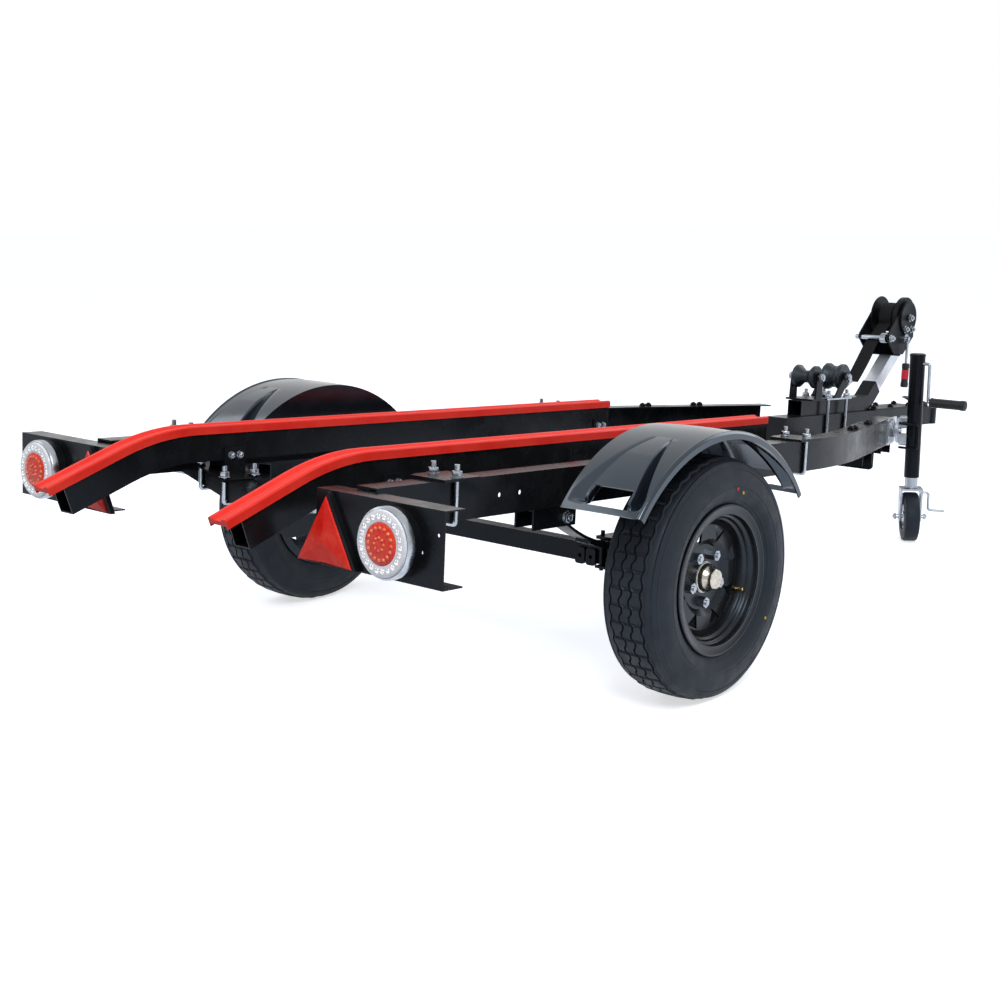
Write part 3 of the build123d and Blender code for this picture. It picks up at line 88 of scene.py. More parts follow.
@dataclass(frozen=True)
class Stance:
    """How the level chassis is set down on the ground.

    Args:
        nose_down: slope of the parked chassis in degrees.
        hub_z: height of the wheels' centres in metres.
        axle_y: Y of the axle in metres.
    """

    nose_down: float = 3.66
    hub_z: float = 0.275
    axle_y: float = -0.713147

    def matrix(self) -> Matrix:
        """Turn and shift from the level chassis to where it parks."""
        lift = Matrix.Translation((0, self.axle_y, self.hub_z))
        turn = Matrix.Rotation(math.radians(-self.nose_down), 4, "X")
        return lift @ turn @ Matrix.Translation((0, 0, -self.hub_z))


STANCE = Stance()


def feed(tree: Tree, node: bpy.types.Node, inputs: dict) -> None:
    """Link or set the inputs of a node.

    Args:
        tree: the node tree.
        node: the node.
        inputs: the socket to link or the value to set, for each input.
    """
    for key, value in inputs.items():
        if isinstance(value, bpy.types.NodeSocket):
            tree.links.new(value, node.inputs[key])
        else:
            node.inputs[key].default_value = value


def add(tree: Tree, kind: str, inputs: dict | None = None, **settings: object) -> bpy.types.Node:
    """Add a shader node.

    Args:
        tree: the node tree.
        kind: type of the node, without its prefix.
        inputs: what its inputs are given.
        settings: its properties.

    Returns:
        The node.
    """
    node = tree.nodes.new("ShaderNode" + kind)
    for key, value in settings.items():
        setattr(node, key, value)
    feed(tree, node, inputs or {})
    return node


def new_group(name: str, inputs: dict[str, float], outputs: tuple[str, ...]) -> Tree:
    """Make an empty shader node group.

    Args:
        name: name of the group.
        inputs: float inputs with their defaults.
        outputs: names of its float outputs.

    Returns:
        The group, with its input and output nodes.
    """
    group = bpy.data.node_groups.new(name, "ShaderNodeTree")
    for key, value in inputs.items():
        socket = group.interface.new_socket(key, in_out="INPUT", socket_type="NodeSocketFloat")
        socket.default_value = value
    for key in outputs:
        group.interface.new_socket(key, in_out="OUTPUT", socket_type="NodeSocketFloat")
    group.nodes.new("NodeGroupInput")
    group.nodes.new("NodeGroupOutput")
    return group


def grain_group() -> Tree:
    """Fine surface grain with slow blotches, as on paint, plastic and rubber.

    Returns:
        A group that puts out a height and a blotch mask.
    """
    group = new_group("surface_grain", {"Scale": 900.0, "Blotch Scale": 14.0}, ("Height", "Blotch"))
    inlet = group.nodes["Group Input"].outputs
    place = add(group, "TexCoord").outputs["Object"]
    fine = add(group, "TexNoise", {"Vector": place, "Scale": inlet["Scale"], "Detail": 2.0})
    slow = add(
        group, "TexNoise",
        {"Vector": place, "Scale": inlet["Blotch Scale"], "Detail": 6.0, "Roughness": 0.62},
    )
    mask = add(
        group, "MapRange", {"Value": slow.outputs["Fac"], "From Min": 0.38, "From Max": 0.66}
    )
    feed(
        group, group.nodes["Group Output"],
        {"Height": fine.outputs["Fac"], "Blotch": mask.outputs["Result"]},
    )
    return group


def wear_group() -> Tree:
    """Rubbed corners.

    Returns:
        A group that puts out a mask of bare edges.
    """
    group = new_group("edge_wear", {"Low": 0.53, "High": 0.60}, ("Edge",))
    inlet = group.nodes["Group Input"].outputs
    corners = add(group, "NewGeometry").outputs["Pointiness"]
    mask = add(
        group, "MapRange",
        {"Value": corners, "From Min": inlet["Low"], "From Max": inlet["High"]},
    )
    feed(group, group.nodes["Group Output"], {"Edge": mask.outputs["Result"]})
    return group


def weave_group() -> Tree:
    """Close over-and-under weave of webbing.

    Returns:
        A group that puts out the weave's height.
    """
    group = new_group("webbing_weave", {"Pitch": 1400.0}, ("Height",))
    place = add(group, "TexCoord").outputs["Object"]
    pitch = group.nodes["Group Input"].outputs["Pitch"]
    threads = {"Vector": place, "Scale": pitch, "Distortion": 0.4}
    warp, weft = (add(group, "TexWave", threads, bands_direction=axis) for axis in ("X", "Y"))
    blend = add(
        group, "Math", {0: warp.outputs["Fac"], 1: weft.outputs["Fac"]}, operation="MULTIPLY"
    )
    feed(group, group.nodes["Group Output"], {"Height": blend.outputs["Value"]})
    return group


@dataclass(frozen=True)
class Finish:
    """A surface finish and the detail that it shows.

    Args:
        name: name of the material.
        colour: base colour.
        second: colour of its blotches or dust.
        rough: roughness where it is clean.
        rough_blotch: roughness in its blotches.
        metallic: metallic value.
        coat: strength of a clear coat.
        grain: scale of its fine grain.
        bump: strength of that grain.
        blotch: scale of its blotches.
        mix: how far the second colour shows.
        wear: how far rubbed corners show.
        weave: whether it is woven.
        specular: strength of its mirror-like reflection.
        tint: colour of that reflection.
    """

    name: str
    colour: Triple
    second: Triple
    rough: float = 0.3
    rough_blotch: float = 0.4
    metallic: float = 0.0
    coat: float = 0.0
    grain: float = 900.0
    bump: float = 0.05
    blotch: float = 14.0
    mix: float = 0.3
    wear: float = 0.0
    weave: bool = False
    specular: float = 0.5
    tint: Triple = (1.0, 1.0, 1.0)

    @property
    def bare(self) -> tuple[float, float, float, float]:
        """Colour of its rubbed corners."""
        gain, lift = 2.4, 0.06
        return (*[min(1.0, gain * c + lift) for c in self.colour], 1.0)

    def build(self, groups: dict[str, Tree]) -> bpy.types.Material:
        """Make the material.

        Args:
            groups: the shared node groups.

        Returns:
            The material.
        """
        material = bpy.data.materials.new(self.name)
        material.use_nodes = True
        tree = material.node_tree
        grain = add(
            tree, "Group", {"Scale": self.grain, "Blotch Scale": self.blotch},
            node_tree=groups["grain"],
        )
        blotch = grain.outputs["Blotch"]
        share = add(tree, "Math", {0: blotch, 1: self.mix}, operation="MULTIPLY")
        colours = {"A": (*self.colour, 1.0), "B": (*self.second, 1.0)}
        colours["Factor"] = share.outputs["Value"]
        base = add(tree, "Mix", colours, data_type="RGBA").outputs["Result"]
        if self.wear > 0:
            edge = add(tree, "Group", node_tree=groups["wear"]).outputs["Edge"]
            share = add(tree, "Math", {0: edge, 1: self.wear}, operation="MULTIPLY")
            colours = {"A": base, "B": self.bare, "Factor": share.outputs["Value"]}
            base = add(tree, "Mix", colours, data_type="RGBA").outputs["Result"]
        rough = add(
            tree, "MapRange",
            {"Value": blotch, "To Min": self.rough, "To Max": self.rough_blotch},
        )
        relief = add(tree, "Group", node_tree=groups["weave"]) if self.weave else grain
        bump = add(
            tree, "Bump",
            {"Strength": self.bump, "Distance": 0.0006, "Height": relief.outputs["Height"]},
        )
        feed(tree, tree.nodes["Principled BSDF"], {
            "Base Color": base,
            "Roughness": rough.outputs["Result"],
            "Normal": bump.outputs["Normal"],
            "Metallic": self.metallic,
            "Coat Weight": self.coat,
            "Coat Roughness": 0.06,
            "Specular IOR Level": self.specular,
            "Specular Tint": (*self.tint, 1.0),
        })
        return material


# Painted reflection: this pale blue tint colours the mirror-like reflections of the black paints,
# plastics and rubbers, standing in for the reflected sky.
PAINTED_SKY_REFLECTION_TINT = (0.66, 0.82, 1.0)

BLACK_PAINT = Finish(
    "gloss_black_paint", (0.0035, 0.0035, 0.0040), (0.0085, 0.0088, 0.0100), 0.20, 0.34, 0.0, 0.0,
    grain=420.0, bump=0.08, mix=0.5, wear=0.05, specular=0.13, tint=PAINTED_SKY_REFLECTION_TINT,
)
SATIN_BLACK = Finish(
    "satin_black_paint", (0.0040, 0.0040, 0.0044), (0.0095, 0.0095, 0.0100), 0.34, 0.46, 0.0, 0.0,
    grain=600.0, bump=0.08, mix=0.4, wear=0.05, specular=0.13, tint=PAINTED_SKY_REFLECTION_TINT,
)
RIM_BLACK = Finish(
    "wheel_black_paint", (0.0050, 0.0050, 0.0054), (0.0100, 0.0100, 0.0110), 0.22, 0.32, 0.0, 0.0,
    grain=500.0, bump=0.06, mix=0.4, wear=0.06, specular=0.36, tint=PAINTED_SKY_REFLECTION_TINT,
)
ZINC = Finish(
    "bright_zinc", (0.40, 0.43, 0.47), (0.20, 0.22, 0.25), 0.22, 0.38, 1.0,
    grain=240.0, bump=0.04, blotch=26.0, mix=0.5, wear=0.0,
)
GALVANISED = Finish(
    "galvanised_tube", (0.74, 0.77, 0.81), (0.56, 0.59, 0.63), 0.28, 0.42, 0.7,
    grain=200.0, bump=0.04, blotch=30.0, mix=0.5,
)
DUST_CAP = Finish(
    "plated_dust_cap", (0.50, 0.46, 0.40), (0.30, 0.27, 0.23), 0.14, 0.26, 1.0,
    grain=200.0, bump=0.03, blotch=60.0, mix=0.6,
)
FENDER_PLASTIC = Finish(
    "gloss_fender_plastic", (0.0045, 0.0056, 0.0080), (0.011, 0.014, 0.020), 0.12, 0.24, 0.0, 0.06,
    grain=60.0, bump=0.03, blotch=6.0, mix=0.6, wear=0.06, specular=0.85, tint=PAINTED_SKY_REFLECTION_TINT,
)
RED_STRIP = Finish(
    "red_bunk_plastic", (0.84, 0.020, 0.010), (0.92, 0.055, 0.028), 0.40, 0.54, 0.0,
    grain=500.0, bump=0.10, blotch=10.0, mix=0.6, wear=0.05, specular=0.22,
)
TYRE_RUBBER = Finish(
    "tyre_rubber", (0.0076, 0.0086, 0.0106), (0.0165, 0.0190, 0.0235), 0.54, 0.72, 0.0,
    grain=800.0, bump=0.25, blotch=26.0, mix=0.6, specular=0.38, tint=PAINTED_SKY_REFLECTION_TINT,
)
ROLLER_RUBBER = Finish(
    "roller_rubber", (0.0090, 0.0095, 0.0110), (0.0180, 0.0190, 0.0220), 0.34, 0.50, 0.0,
    grain=900.0, bump=0.12, blotch=40.0, mix=0.6, tint=PAINTED_SKY_REFLECTION_TINT,
)
GRIP_RUBBER = Finish(
    "grip_rubber", (0.0060, 0.0060, 0.0066), (0.0130, 0.0130, 0.0140), 0.5, 0.62, 0.0,
    grain=1200.0, bump=0.3, blotch=60.0, mix=0.5, specular=0.35,
)
WEBBING = Finish(
    "black_webbing", (0.0050, 0.0050, 0.0055), (0.0130, 0.0130, 0.0140), 0.8, 0.9, 0.0,
    bump=0.9, blotch=60.0, mix=0.5, weave=True, specular=0.25,
)
RED_LENS = Finish(
    "red_lens", (0.84, 0.018, 0.008), (0.94, 0.090, 0.026), 0.16, 0.24, 0.0, 0.05,
    grain=160.0, bump=0.05, blotch=60.0, mix=0.8, specular=0.25,
)
RED_LED = Finish(
    "red_led_domes", (0.85, 0.060, 0.016), (0.98, 0.30, 0.08), 0.10, 0.16, 0.0, 0.25,
    grain=160.0, bump=0.02, blotch=120.0, mix=0.8, specular=0.4,
)
CLEAR_RING = Finish(
    "clear_lens_ring", (0.92, 0.90, 0.90), (0.66, 0.66, 0.68), 0.10, 0.20, 0.0, 0.3,
    grain=160.0, bump=0.05, blotch=110.0, mix=0.5,
)
CHROME_LED = Finish(
    "bright_reflector_cups", (0.80, 0.79, 0.78), (0.34, 0.34, 0.36), 0.05, 0.12, 0.95, 0.2,
    grain=160.0, bump=0.02, blotch=120.0, mix=0.8,
)
REFLECTOR_RED = Finish(
    "prism_reflector_red", (0.82, 0.016, 0.010), (0.94, 0.080, 0.040), 0.20, 0.30, 0.0, 0.02,
    grain=260.0, bump=0.20, blotch=30.0, mix=0.6, specular=0.12,
)
RED_BAND = Finish(
    "red_grip_band", (0.70, 0.012, 0.035), (0.80, 0.04, 0.06), 0.4, 0.5, 0.0, bump=0.1,
)
BRASS = Finish(
    "brass_valve", (0.70, 0.48, 0.18), (0.52, 0.34, 0.12), 0.22, 0.32, 1.0, bump=0.05,
)
RED_DOT = Finish("red_paint_dot", (0.75, 0.03, 0.02), (0.60, 0.02, 0.02), 0.6, 0.7, bump=0.1)
YELLOW_DOT = Finish("yellow_paint_dot", (0.70, 0.52, 0.06), (0.55, 0.40, 0.05), 0.6, 0.7, bump=0.1)


def clear_selection() -> None:
    """Leave edit mode and deselect everything."""
    if bpy.context.object and bpy.context.object.mode != "OBJECT":
        bpy.ops.object.mode_set(mode="OBJECT")
    bpy.ops.object.select_all(action="DESELECT")


def select_only(piece: Piece) -> None:
    """Select one object and make it active.

    Args:
        piece: the object.
    """
    clear_selection()
    piece.select_set(True)
    bpy.context.view_layer.objects.active = piece


def settle(piece: Piece, name: str, matrix: Matrix | None = None) -> Piece:
    """Put a piece's place into its mesh and name it.

    Args:
        piece: the object.
        name: its new name.
        matrix: a further turn and shift.

    Returns:
        The piece, at the origin.
    """
    full = piece.matrix_world.copy() if matrix is None else matrix @ piece.matrix_world
    piece.data.transform(full)
    if full.determinant() < 0:
        piece.data.flip_normals()
    piece.matrix_world = Matrix.Identity(4)
    piece.name = name
    piece.data.name = name
    return piece


def mesh_piece(name: str, points: list, faces: list) -> Piece:
    """Make an object from points and faces.

    Args:
        name: its name.
        points: vertex positions.
        faces: vertex numbers of each face, or of each edge.

    Returns:
        The object, linked to the scene.
    """
    mesh = bpy.data.meshes.new(name)
    if faces and len(faces[0]) == 2:
        mesh.from_pydata(points, faces, [])
    else:
        mesh.from_pydata(points, [], faces)
    mesh.update()
    piece = bpy.data.objects.new(name, mesh)
    bpy.context.scene.collection.objects.link(piece)
    return piece


def tidy_shell(piece: Piece, gap: float = 0.00002) -> None:
    """Merge doubles and turn every face outwards.

    Args:
        piece: the object.
        gap: distance under which points are merged.
    """
    select_only(piece)
    bpy.ops.object.mode_set(mode="EDIT")
    bpy.ops.mesh.select_all(action="SELECT")
    bpy.ops.mesh.remove_doubles(threshold=gap)
    bpy.ops.mesh.normals_make_consistent(inside=False)
    bpy.ops.object.mode_set(mode="OBJECT")


def smooth(piece: Piece, degrees: float) -> None:
    """Shade a piece smooth up to an angle.

    Args:
        piece: the object.
        degrees: the sharpest angle that still shades smooth.
    """
    select_only(piece)
    bpy.ops.object.shade_smooth_by_angle(angle=math.radians(degrees))


def modifier(piece: Piece, kind: str, **settings: object) -> None:
    """Add a modifier and apply it.

    Args:
        piece: the object.
        kind: the modifier's type.
        settings: its values.
    """
    added = piece.modifiers.new(kind.lower(), kind)
    for key, value in settings.items():
        setattr(added, key, value)
    select_only(piece)
    bpy.ops.object.modifier_apply(modifier=added.name)


def cylinder(
    name: str,
    sides: int,
    radius: float,
    length: float,
    middle: Triple | Vector,
    along_x: bool = False,
    bevel: tuple[float, int] = (0.0, 0),
) -> Piece:
    """Make a cylinder along Z or X.

    Args:
        name: its name.
        sides: number of its sides.
        radius: its radius.
        length: its length.
        middle: its middle.
        along_x: whether it lies along X.
        bevel: width and number of steps of its bevelled rims.

    Returns:
        The cylinder.
    """
    clear_selection()
    turn = (0, QUARTER if along_x else 0, 0)
    bpy.ops.mesh.primitive_cylinder_add(
        vertices=sides, radius=radius, depth=length, location=middle, rotation=turn
    )
    piece = bpy.context.object
    width, steps = bevel
    if steps:
        modifier(piece, "BEVEL", width=width, segments=steps, limit_method="ANGLE")
    return settle(piece, name)


def spun(name: str, outline: Outline, centre: Vector, steps: int) -> Piece:
    """Spin an outline of (x, radius) points about an X axis.

    Args:
        name: name of the piece.
        outline: points along X and out from the axis.
        centre: a point on the axis.
        steps: number of steps round.

    Returns:
        The closed ring or body.
    """
    points = [(centre.x + x, centre.y, centre.z + r) for x, r in outline]
    piece = mesh_piece(name, points, [(i, i + 1) for i in range(len(points) - 1)])
    select_only(piece)
    bpy.ops.object.mode_set(mode="EDIT")
    bpy.ops.mesh.select_all(action="SELECT")
    bpy.ops.mesh.spin(steps=steps, angle=math.tau, center=centre, axis=OUT)
    bpy.ops.object.mode_set(mode="OBJECT")
    tidy_shell(piece)
    return piece


def joined(name: str, pieces: list[Piece]) -> Piece:
    """Join pieces into one object.

    Args:
        name: name of the result.
        pieces: the objects to join.

    Returns:
        The joined object.
    """
    clear_selection()
    for piece in pieces:
        piece.select_set(True)
    bpy.context.view_layer.objects.active = pieces[0]
    bpy.ops.object.join()
    return settle(bpy.context.view_layer.objects.active, name)


def copied(piece: Piece, matrix: Matrix) -> Piece:
    """Copy a piece with a mesh of its own.

    Args:
        piece: the object.
        matrix: turn and shift of the copy.

    Returns:
        The copy.
    """
    twin = piece.copy()
    twin.data = piece.data.copy()
    bpy.context.scene.collection.objects.link(twin)
    twin.data.transform(matrix)
    return twin


def ease(value: float) -> float:
    """Smooth step from 0 to 1.

    Args:
        value: the place between the two ends.

    Returns:
        The eased value.
    """
    t = min(1.0, max(0.0, value))
    return t * t * (3.0 - 2.0 * t)


def facing(direction: Vector) -> Matrix:
    """Turn that points local Z along a direction.

    Args:
        direction: the direction.

    Returns:
        The turn.
    """
    return direction.to_track_quat("Z", "Y").to_matrix().to_4x4()


def paired(x: float, y: float, z: float, way: Triple = UP) -> list[Place]:
    """Foot and direction of a bolt on the right, and of its twin on the left.

    Args:
        x: X of the right one.
        y: their Y.
        z: their Z.
        way: direction of the right one.

    Returns:
        The two places.
    """
    return [(Vector((s * x, y, z)), Vector((s * way[0], way[1], way[2]))) for s in (1, -1)]


def spline(route: list[Vector], steps: int) -> list[Vector]:
    """Smooth line through the points of a route.

    Args:
        route: the points.
        steps: number of steps from one point to the next.

    Returns:
        The points of the finer line.
    """
    line = []
    for before, start, stop, after in zip(
        route[:1] + route, route, route[1:], route[2:] + route[-1:]
    ):
        bend = 2 * before - 5 * start + 4 * stop - after
        twist = 3 * start - before - 3 * stop + after
        for k in range(steps):
            u = k / steps
            line.append(0.5 * (2 * start + u * (stop - before) + u * u * bend + u ** 3 * twist))
    return [*line, route[-1]]


@dataclass
class HexBolt:
    """A hexagon bolt head with its washer, modelled once and copied.

    Args:
        across: distance across the flats.
        head: height of the head.
        washer: radius of the washer.
        stub: length of thread that stands out.
        plate: thickness of the washer.
        thread: radius of the thread as a share of the distance across the flats.
    """

    across: float
    head: float
    washer: float
    stub: float
    plate: float = 0.002
    thread: float = 0.29

    def build(self) -> Piece:
        """Model one bolt head at the origin, standing on local Z.

        Returns:
            The bolt head.
        """
        top = self.plate + self.head
        parts = [
            cylinder("washer", 24, self.washer, self.plate, (0, 0, self.plate / 2)),
            cylinder(
                "head", 6, self.across / math.sqrt(3), self.head,
                (0, 0, self.plate + self.head / 2), bevel=(0.0010, 2),
            ),
            cylinder(
                "stub", 16, self.across * self.thread, self.stub,
                (0, 0, top + self.stub / 2), bevel=(0.0008, 1),
            ),
        ]
        bolt = joined("bolt_pattern_piece", parts)
        smooth(bolt, 30)
        return bolt

    def set_of(self, name: str, places: list[Place], matrix: Matrix) -> Piece:
        """Make a set of bolts as one piece.

        Args:
            name: name of the piece.
            places: foot and direction of each bolt.
            matrix: turn and shift of the whole set.

        Returns:
            The piece.
        """
        one = self.build()
        copies = [
            copied(one, matrix @ Matrix.Translation(foot) @ facing(way)) for foot, way in places
        ]
        bpy.data.objects.remove(one)
        return joined(name, copies)


@dataclass
class Palette:
    """All materials of the trailer, each built once."""

    groups: dict[str, Tree] = field(default_factory=dict)
    made: dict[str, bpy.types.Material] = field(default_factory=dict)

    def start(self) -> None:
        """Build the shared node groups."""
        self.groups = {"grain": grain_group(), "wear": wear_group(), "weave": weave_group()}

    def of(self, finish: Finish) -> bpy.types.Material:
        """Material of a finish.

        Args:
            finish: the finish.

        Returns:
            Its material.
        """
        if finish.name not in self.made:
            self.made[finish.name] = finish.build(self.groups)
        return self.made[finish.name]

    def dress(self, piece: Piece, finish: Finish) -> None:
        """Give a piece one finish all over.

        Args:
            piece: the object.
            finish: the finish.
        """
        piece.data.materials.clear()
        piece.data.materials.append(self.of(finish))

    def dress_node(self, node: Piece, finish: Finish) -> None:
        """Give a CAD node one finish.

        Args:
            node: the CAD node's object.
            finish: the finish.
        """
        for slot in node.material_slots:
            slot.material = self.of(finish)


@dataclass
class SubAssembly:
    """A group of pieces on the trailer.

    Args:
        palette: the trailer's materials.
    """

    palette: Palette
    frame: dict

    def place(
        self,
        piece: Piece,
        body: str,
        finish: Finish,
        slot: str,
        degrees: float = 0.0,
        matrix: Matrix | None = None,
    ) -> Piece:
        """Settle, shade and dress a piece, and let it ride on a body.

        Args:
            piece: the object.
            body: the body's name.
            finish: its finish.
            slot: the record's material slot; not used.
            degrees: the sharpest angle that shades smooth, or 0 to leave its shading as it is.
            matrix: turn and shift to where it parks.

        Returns:
            The piece.
        """
        if matrix is not None:
            settle(piece, piece.name, matrix)
        if degrees:
            smooth(piece, degrees)
        self.palette.dress(piece, finish)
        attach(piece, body)
        LOG.info("%s rides on %s", piece.name, body)
        return piece


TYRE_GROOVES = ((-0.042, -0.0375), (-0.015, -0.0100), (0.0100, 0.0150), (0.0375, 0.042))
TYRE_WALL = [
    (0.0565, 0.2705), (0.0635, 0.2655), (0.0672, 0.2610), (0.0692, 0.2550), (0.0700, 0.2548),
    (0.0712, 0.2500), (0.0704, 0.2496), (0.0735, 0.2400), (0.0760, 0.2290), (0.0772, 0.2180),
    (0.0775, 0.2130), (0.0766, 0.2122), (0.0768, 0.2060), (0.0773, 0.2052), (0.0757, 0.1980),
    (0.0725, 0.1900), (0.0717, 0.1893), (0.0690, 0.1830), (0.0676, 0.1826), (0.0640, 0.1775),
    (0.0624, 0.1745), (0.0610, 0.1718), (0.0592, 0.1700), (0.0588, 0.1560), (0.0560, 0.1536),
    (0.0480, 0.1536),
]
TYRE_INSIDE = [(0.0500, 0.1700), (0.0660, 0.2080), (0.0560, 0.2540)]
DUST_CAP_OUTLINE = [
    (0.0172, 0.0005), (0.0172, 0.0335), (0.0196, 0.0340), (0.0205, 0.0322), (0.0300, 0.0318),
    (0.0330, 0.0300), (0.0400, 0.0245), (0.0485, 0.0228), (0.0505, 0.0210), (0.0508, 0.0130),
    (0.0502, 0.0125), (0.0502, 0.0005),
]
RIM_BARREL_OUTLINE = [
    (0.0612, 0.1702), (0.0640, 0.1716), (0.0666, 0.1710), (0.0678, 0.1686), (0.0672, 0.1660),
    (0.0655, 0.1640), (0.0652, 0.1530), (0.0640, 0.1496), (0.0610, 0.1484), (0.0520, 0.1478),
    (0.0490, 0.1460), (0.0482, 0.1425), (0.0462, 0.1404), (0.0400, 0.1396), (0.0370, 0.1380),
    (0.0360, 0.1345), (0.0338, 0.1326), (0.0200, 0.1318), (0.0160, 0.1300),
]
PAINT_DOTS = (
    ("red", 1.40, 0.2065, 0.0042, RED_DOT),
    ("yellow", 1.28, 0.2000, 0.0034, YELLOW_DOT),
    ("low_yellow", -0.62, 0.2065, 0.0036, YELLOW_DOT),
)


@dataclass
class RoadWheel(SubAssembly):
    """Tyre with its tread and paint dots, valve, dust cap and rim barrel."""

    side: Side = Side.RIGHT
    radius: float = 0.275
    mid_x: float = 0.655
    wall_x: float = 0.0773
    steps: int = 176
    shoulder: float = 0.054
    shoulder_fall: float = 0.0035
    groove: float = 0.0070
    draft: float = 0.0006
    zigzag: float = 0.0036
    inner_band: float = 0.02
    tread_band: float = 0.0425
    tread_depth: float = 0.012
    outer_blocks: float = 0.064
    rib_band: tuple[float, float] = (0.016, 0.037)
    middle_rib: float = 0.009
    sipe_wide: float = 0.0033
    sipe_deep: float = 0.0035
    valve_reach: float = 0.1245
    valve_turn: float = -0.38
    valve_radius: float = 0.004
    valve_long: float = 0.030
    dot_thick: float = 0.0012

    @property
    def centre(self) -> Vector:
        """Centre of the wheel."""
        return Vector((self.side.value * self.mid_x, STANCE.axle_y, STANCE.hub_z))

    def spot(self, x: float, reach: float, turn: float) -> Vector:
        """Place on the outer side of the wheel.

        Args:
            x: distance outwards from its middle plane.
            reach: distance from its axis.
            turn: angle about its axis in radians, from the horizontal.

        Returns:
            The place.
        """
        y, z = reach * math.cos(turn), reach * math.sin(turn)
        return self.centre + Vector((self.side.value * x, y, z))

    def outline(self) -> Outline:
        """Cross section of the tyre, from one bead round the crown to the other.

        Returns:
            Points of X and radius.
        """
        crown = []
        for start, stop in TYRE_GROOVES:
            high, low = (
                self.radius - self.shoulder_fall * (abs(x) / self.shoulder) ** 2
                for x in (start, stop)
            )
            crown += [
                (start, high), (start + self.draft, high - self.groove),
                (stop - self.draft, low - self.groove), (stop, low),
            ]
        left = [(-x, r) for x, r in reversed(TYRE_WALL)]
        inside = TYRE_INSIDE + [(-x, r) for x, r in reversed(TYRE_INSIDE)]
        ring = left + crown + TYRE_WALL + inside
        return [*ring, ring[0]]

    def cut_sipes(self, tyre: Piece) -> None:
        """Zigzag the grooves and cut cross sipes into the ribs.

        Args:
            tyre: the spun tyre.
        """
        c = self.centre
        step = math.tau / self.steps
        floor = self.radius - self.tread_depth
        for vertex in tyre.data.vertices:
            x = abs(vertex.co.x - c.x)
            y, z = vertex.co.y - c.y, vertex.co.z - c.z
            if x < self.tread_band and math.hypot(y, z) > floor:
                phase = round(math.atan2(z, y) / step) % 4
                inner = x < self.inner_band
                shift = (-1, -1, 1, 1)[phase] if inner else (0.6, 0.6, -0.6, -0.6)[phase]
                vertex.co.x += self.zigzag * shift
        select_only(tyre)
        bpy.ops.object.mode_set(mode="EDIT")
        bpy.ops.mesh.select_all(action="DESELECT")
        bpy.ops.object.mode_set(mode="OBJECT")
        for face in tyre.data.polygons:
            mid = face.center - c
            x = abs(mid.x)
            turn = round(math.atan2(mid.z, mid.y) / step - 0.5)
            shoulder = self.tread_band < x < self.outer_blocks
            rib = self.rib_band[0] < x < self.rib_band[1] or x < self.middle_rib
            if math.hypot(mid.y, mid.z) > floor and face.normal.dot(mid) > 0.1:
                face.select = (shoulder and turn % 2 == 0) or (rib and turn % 4 == 1)
        bpy.ops.object.mode_set(mode="EDIT")
        bpy.ops.mesh.inset(
            thickness=self.sipe_wide, depth=-self.sipe_deep, use_individual=False
        )
        bpy.ops.object.mode_set(mode="OBJECT")

    def build(self) -> None:
        """Build the pieces of one wheel."""
        word, s = self.side.word, self.side.value
        body = "wheel_" + word
        tyre = spun("road_tyre_" + word, self.outline(), self.centre, self.steps)
        self.cut_sipes(tyre)
        self.place(tyre, body, TYRE_RUBBER, "tyre", 28)
        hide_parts("tyre_" + word)
        foot = self.spot(0.032, self.valve_reach, self.valve_turn)
        valve = cylinder(
            "valve_" + word, 16, self.valve_radius, self.valve_long, foot, True, ROUNDED
        )
        self.place(valve, body, BRASS, "zinc", 35)
        for name, outline, steps, finish, slot, degrees in (
            ("dust_cap_", DUST_CAP_OUTLINE, 56, DUST_CAP, "zinc", 30),
            ("rim_barrel_", RIM_BARREL_OUTLINE, 96, RIM_BLACK, "black_paint", 50),
        ):
            ring = spun(name + word, [(s * x, r) for x, r in outline], self.centre, steps)
            self.place(ring, body, finish, slot, degrees)
        for name, turn, reach, size, finish in PAINT_DOTS:
            foot = self.spot(self.wall_x, reach, turn)
            dot = cylinder(f"{name}_dot_{word}", 20, size, self.dot_thick, foot, True)
            self.place(dot, body, finish, "red_plastic")
        for node, finish in (("rim_", RIM_BLACK), ("hub_", ZINC)):
            self.palette.dress_node(self.frame["nodes"][node + word], finish)


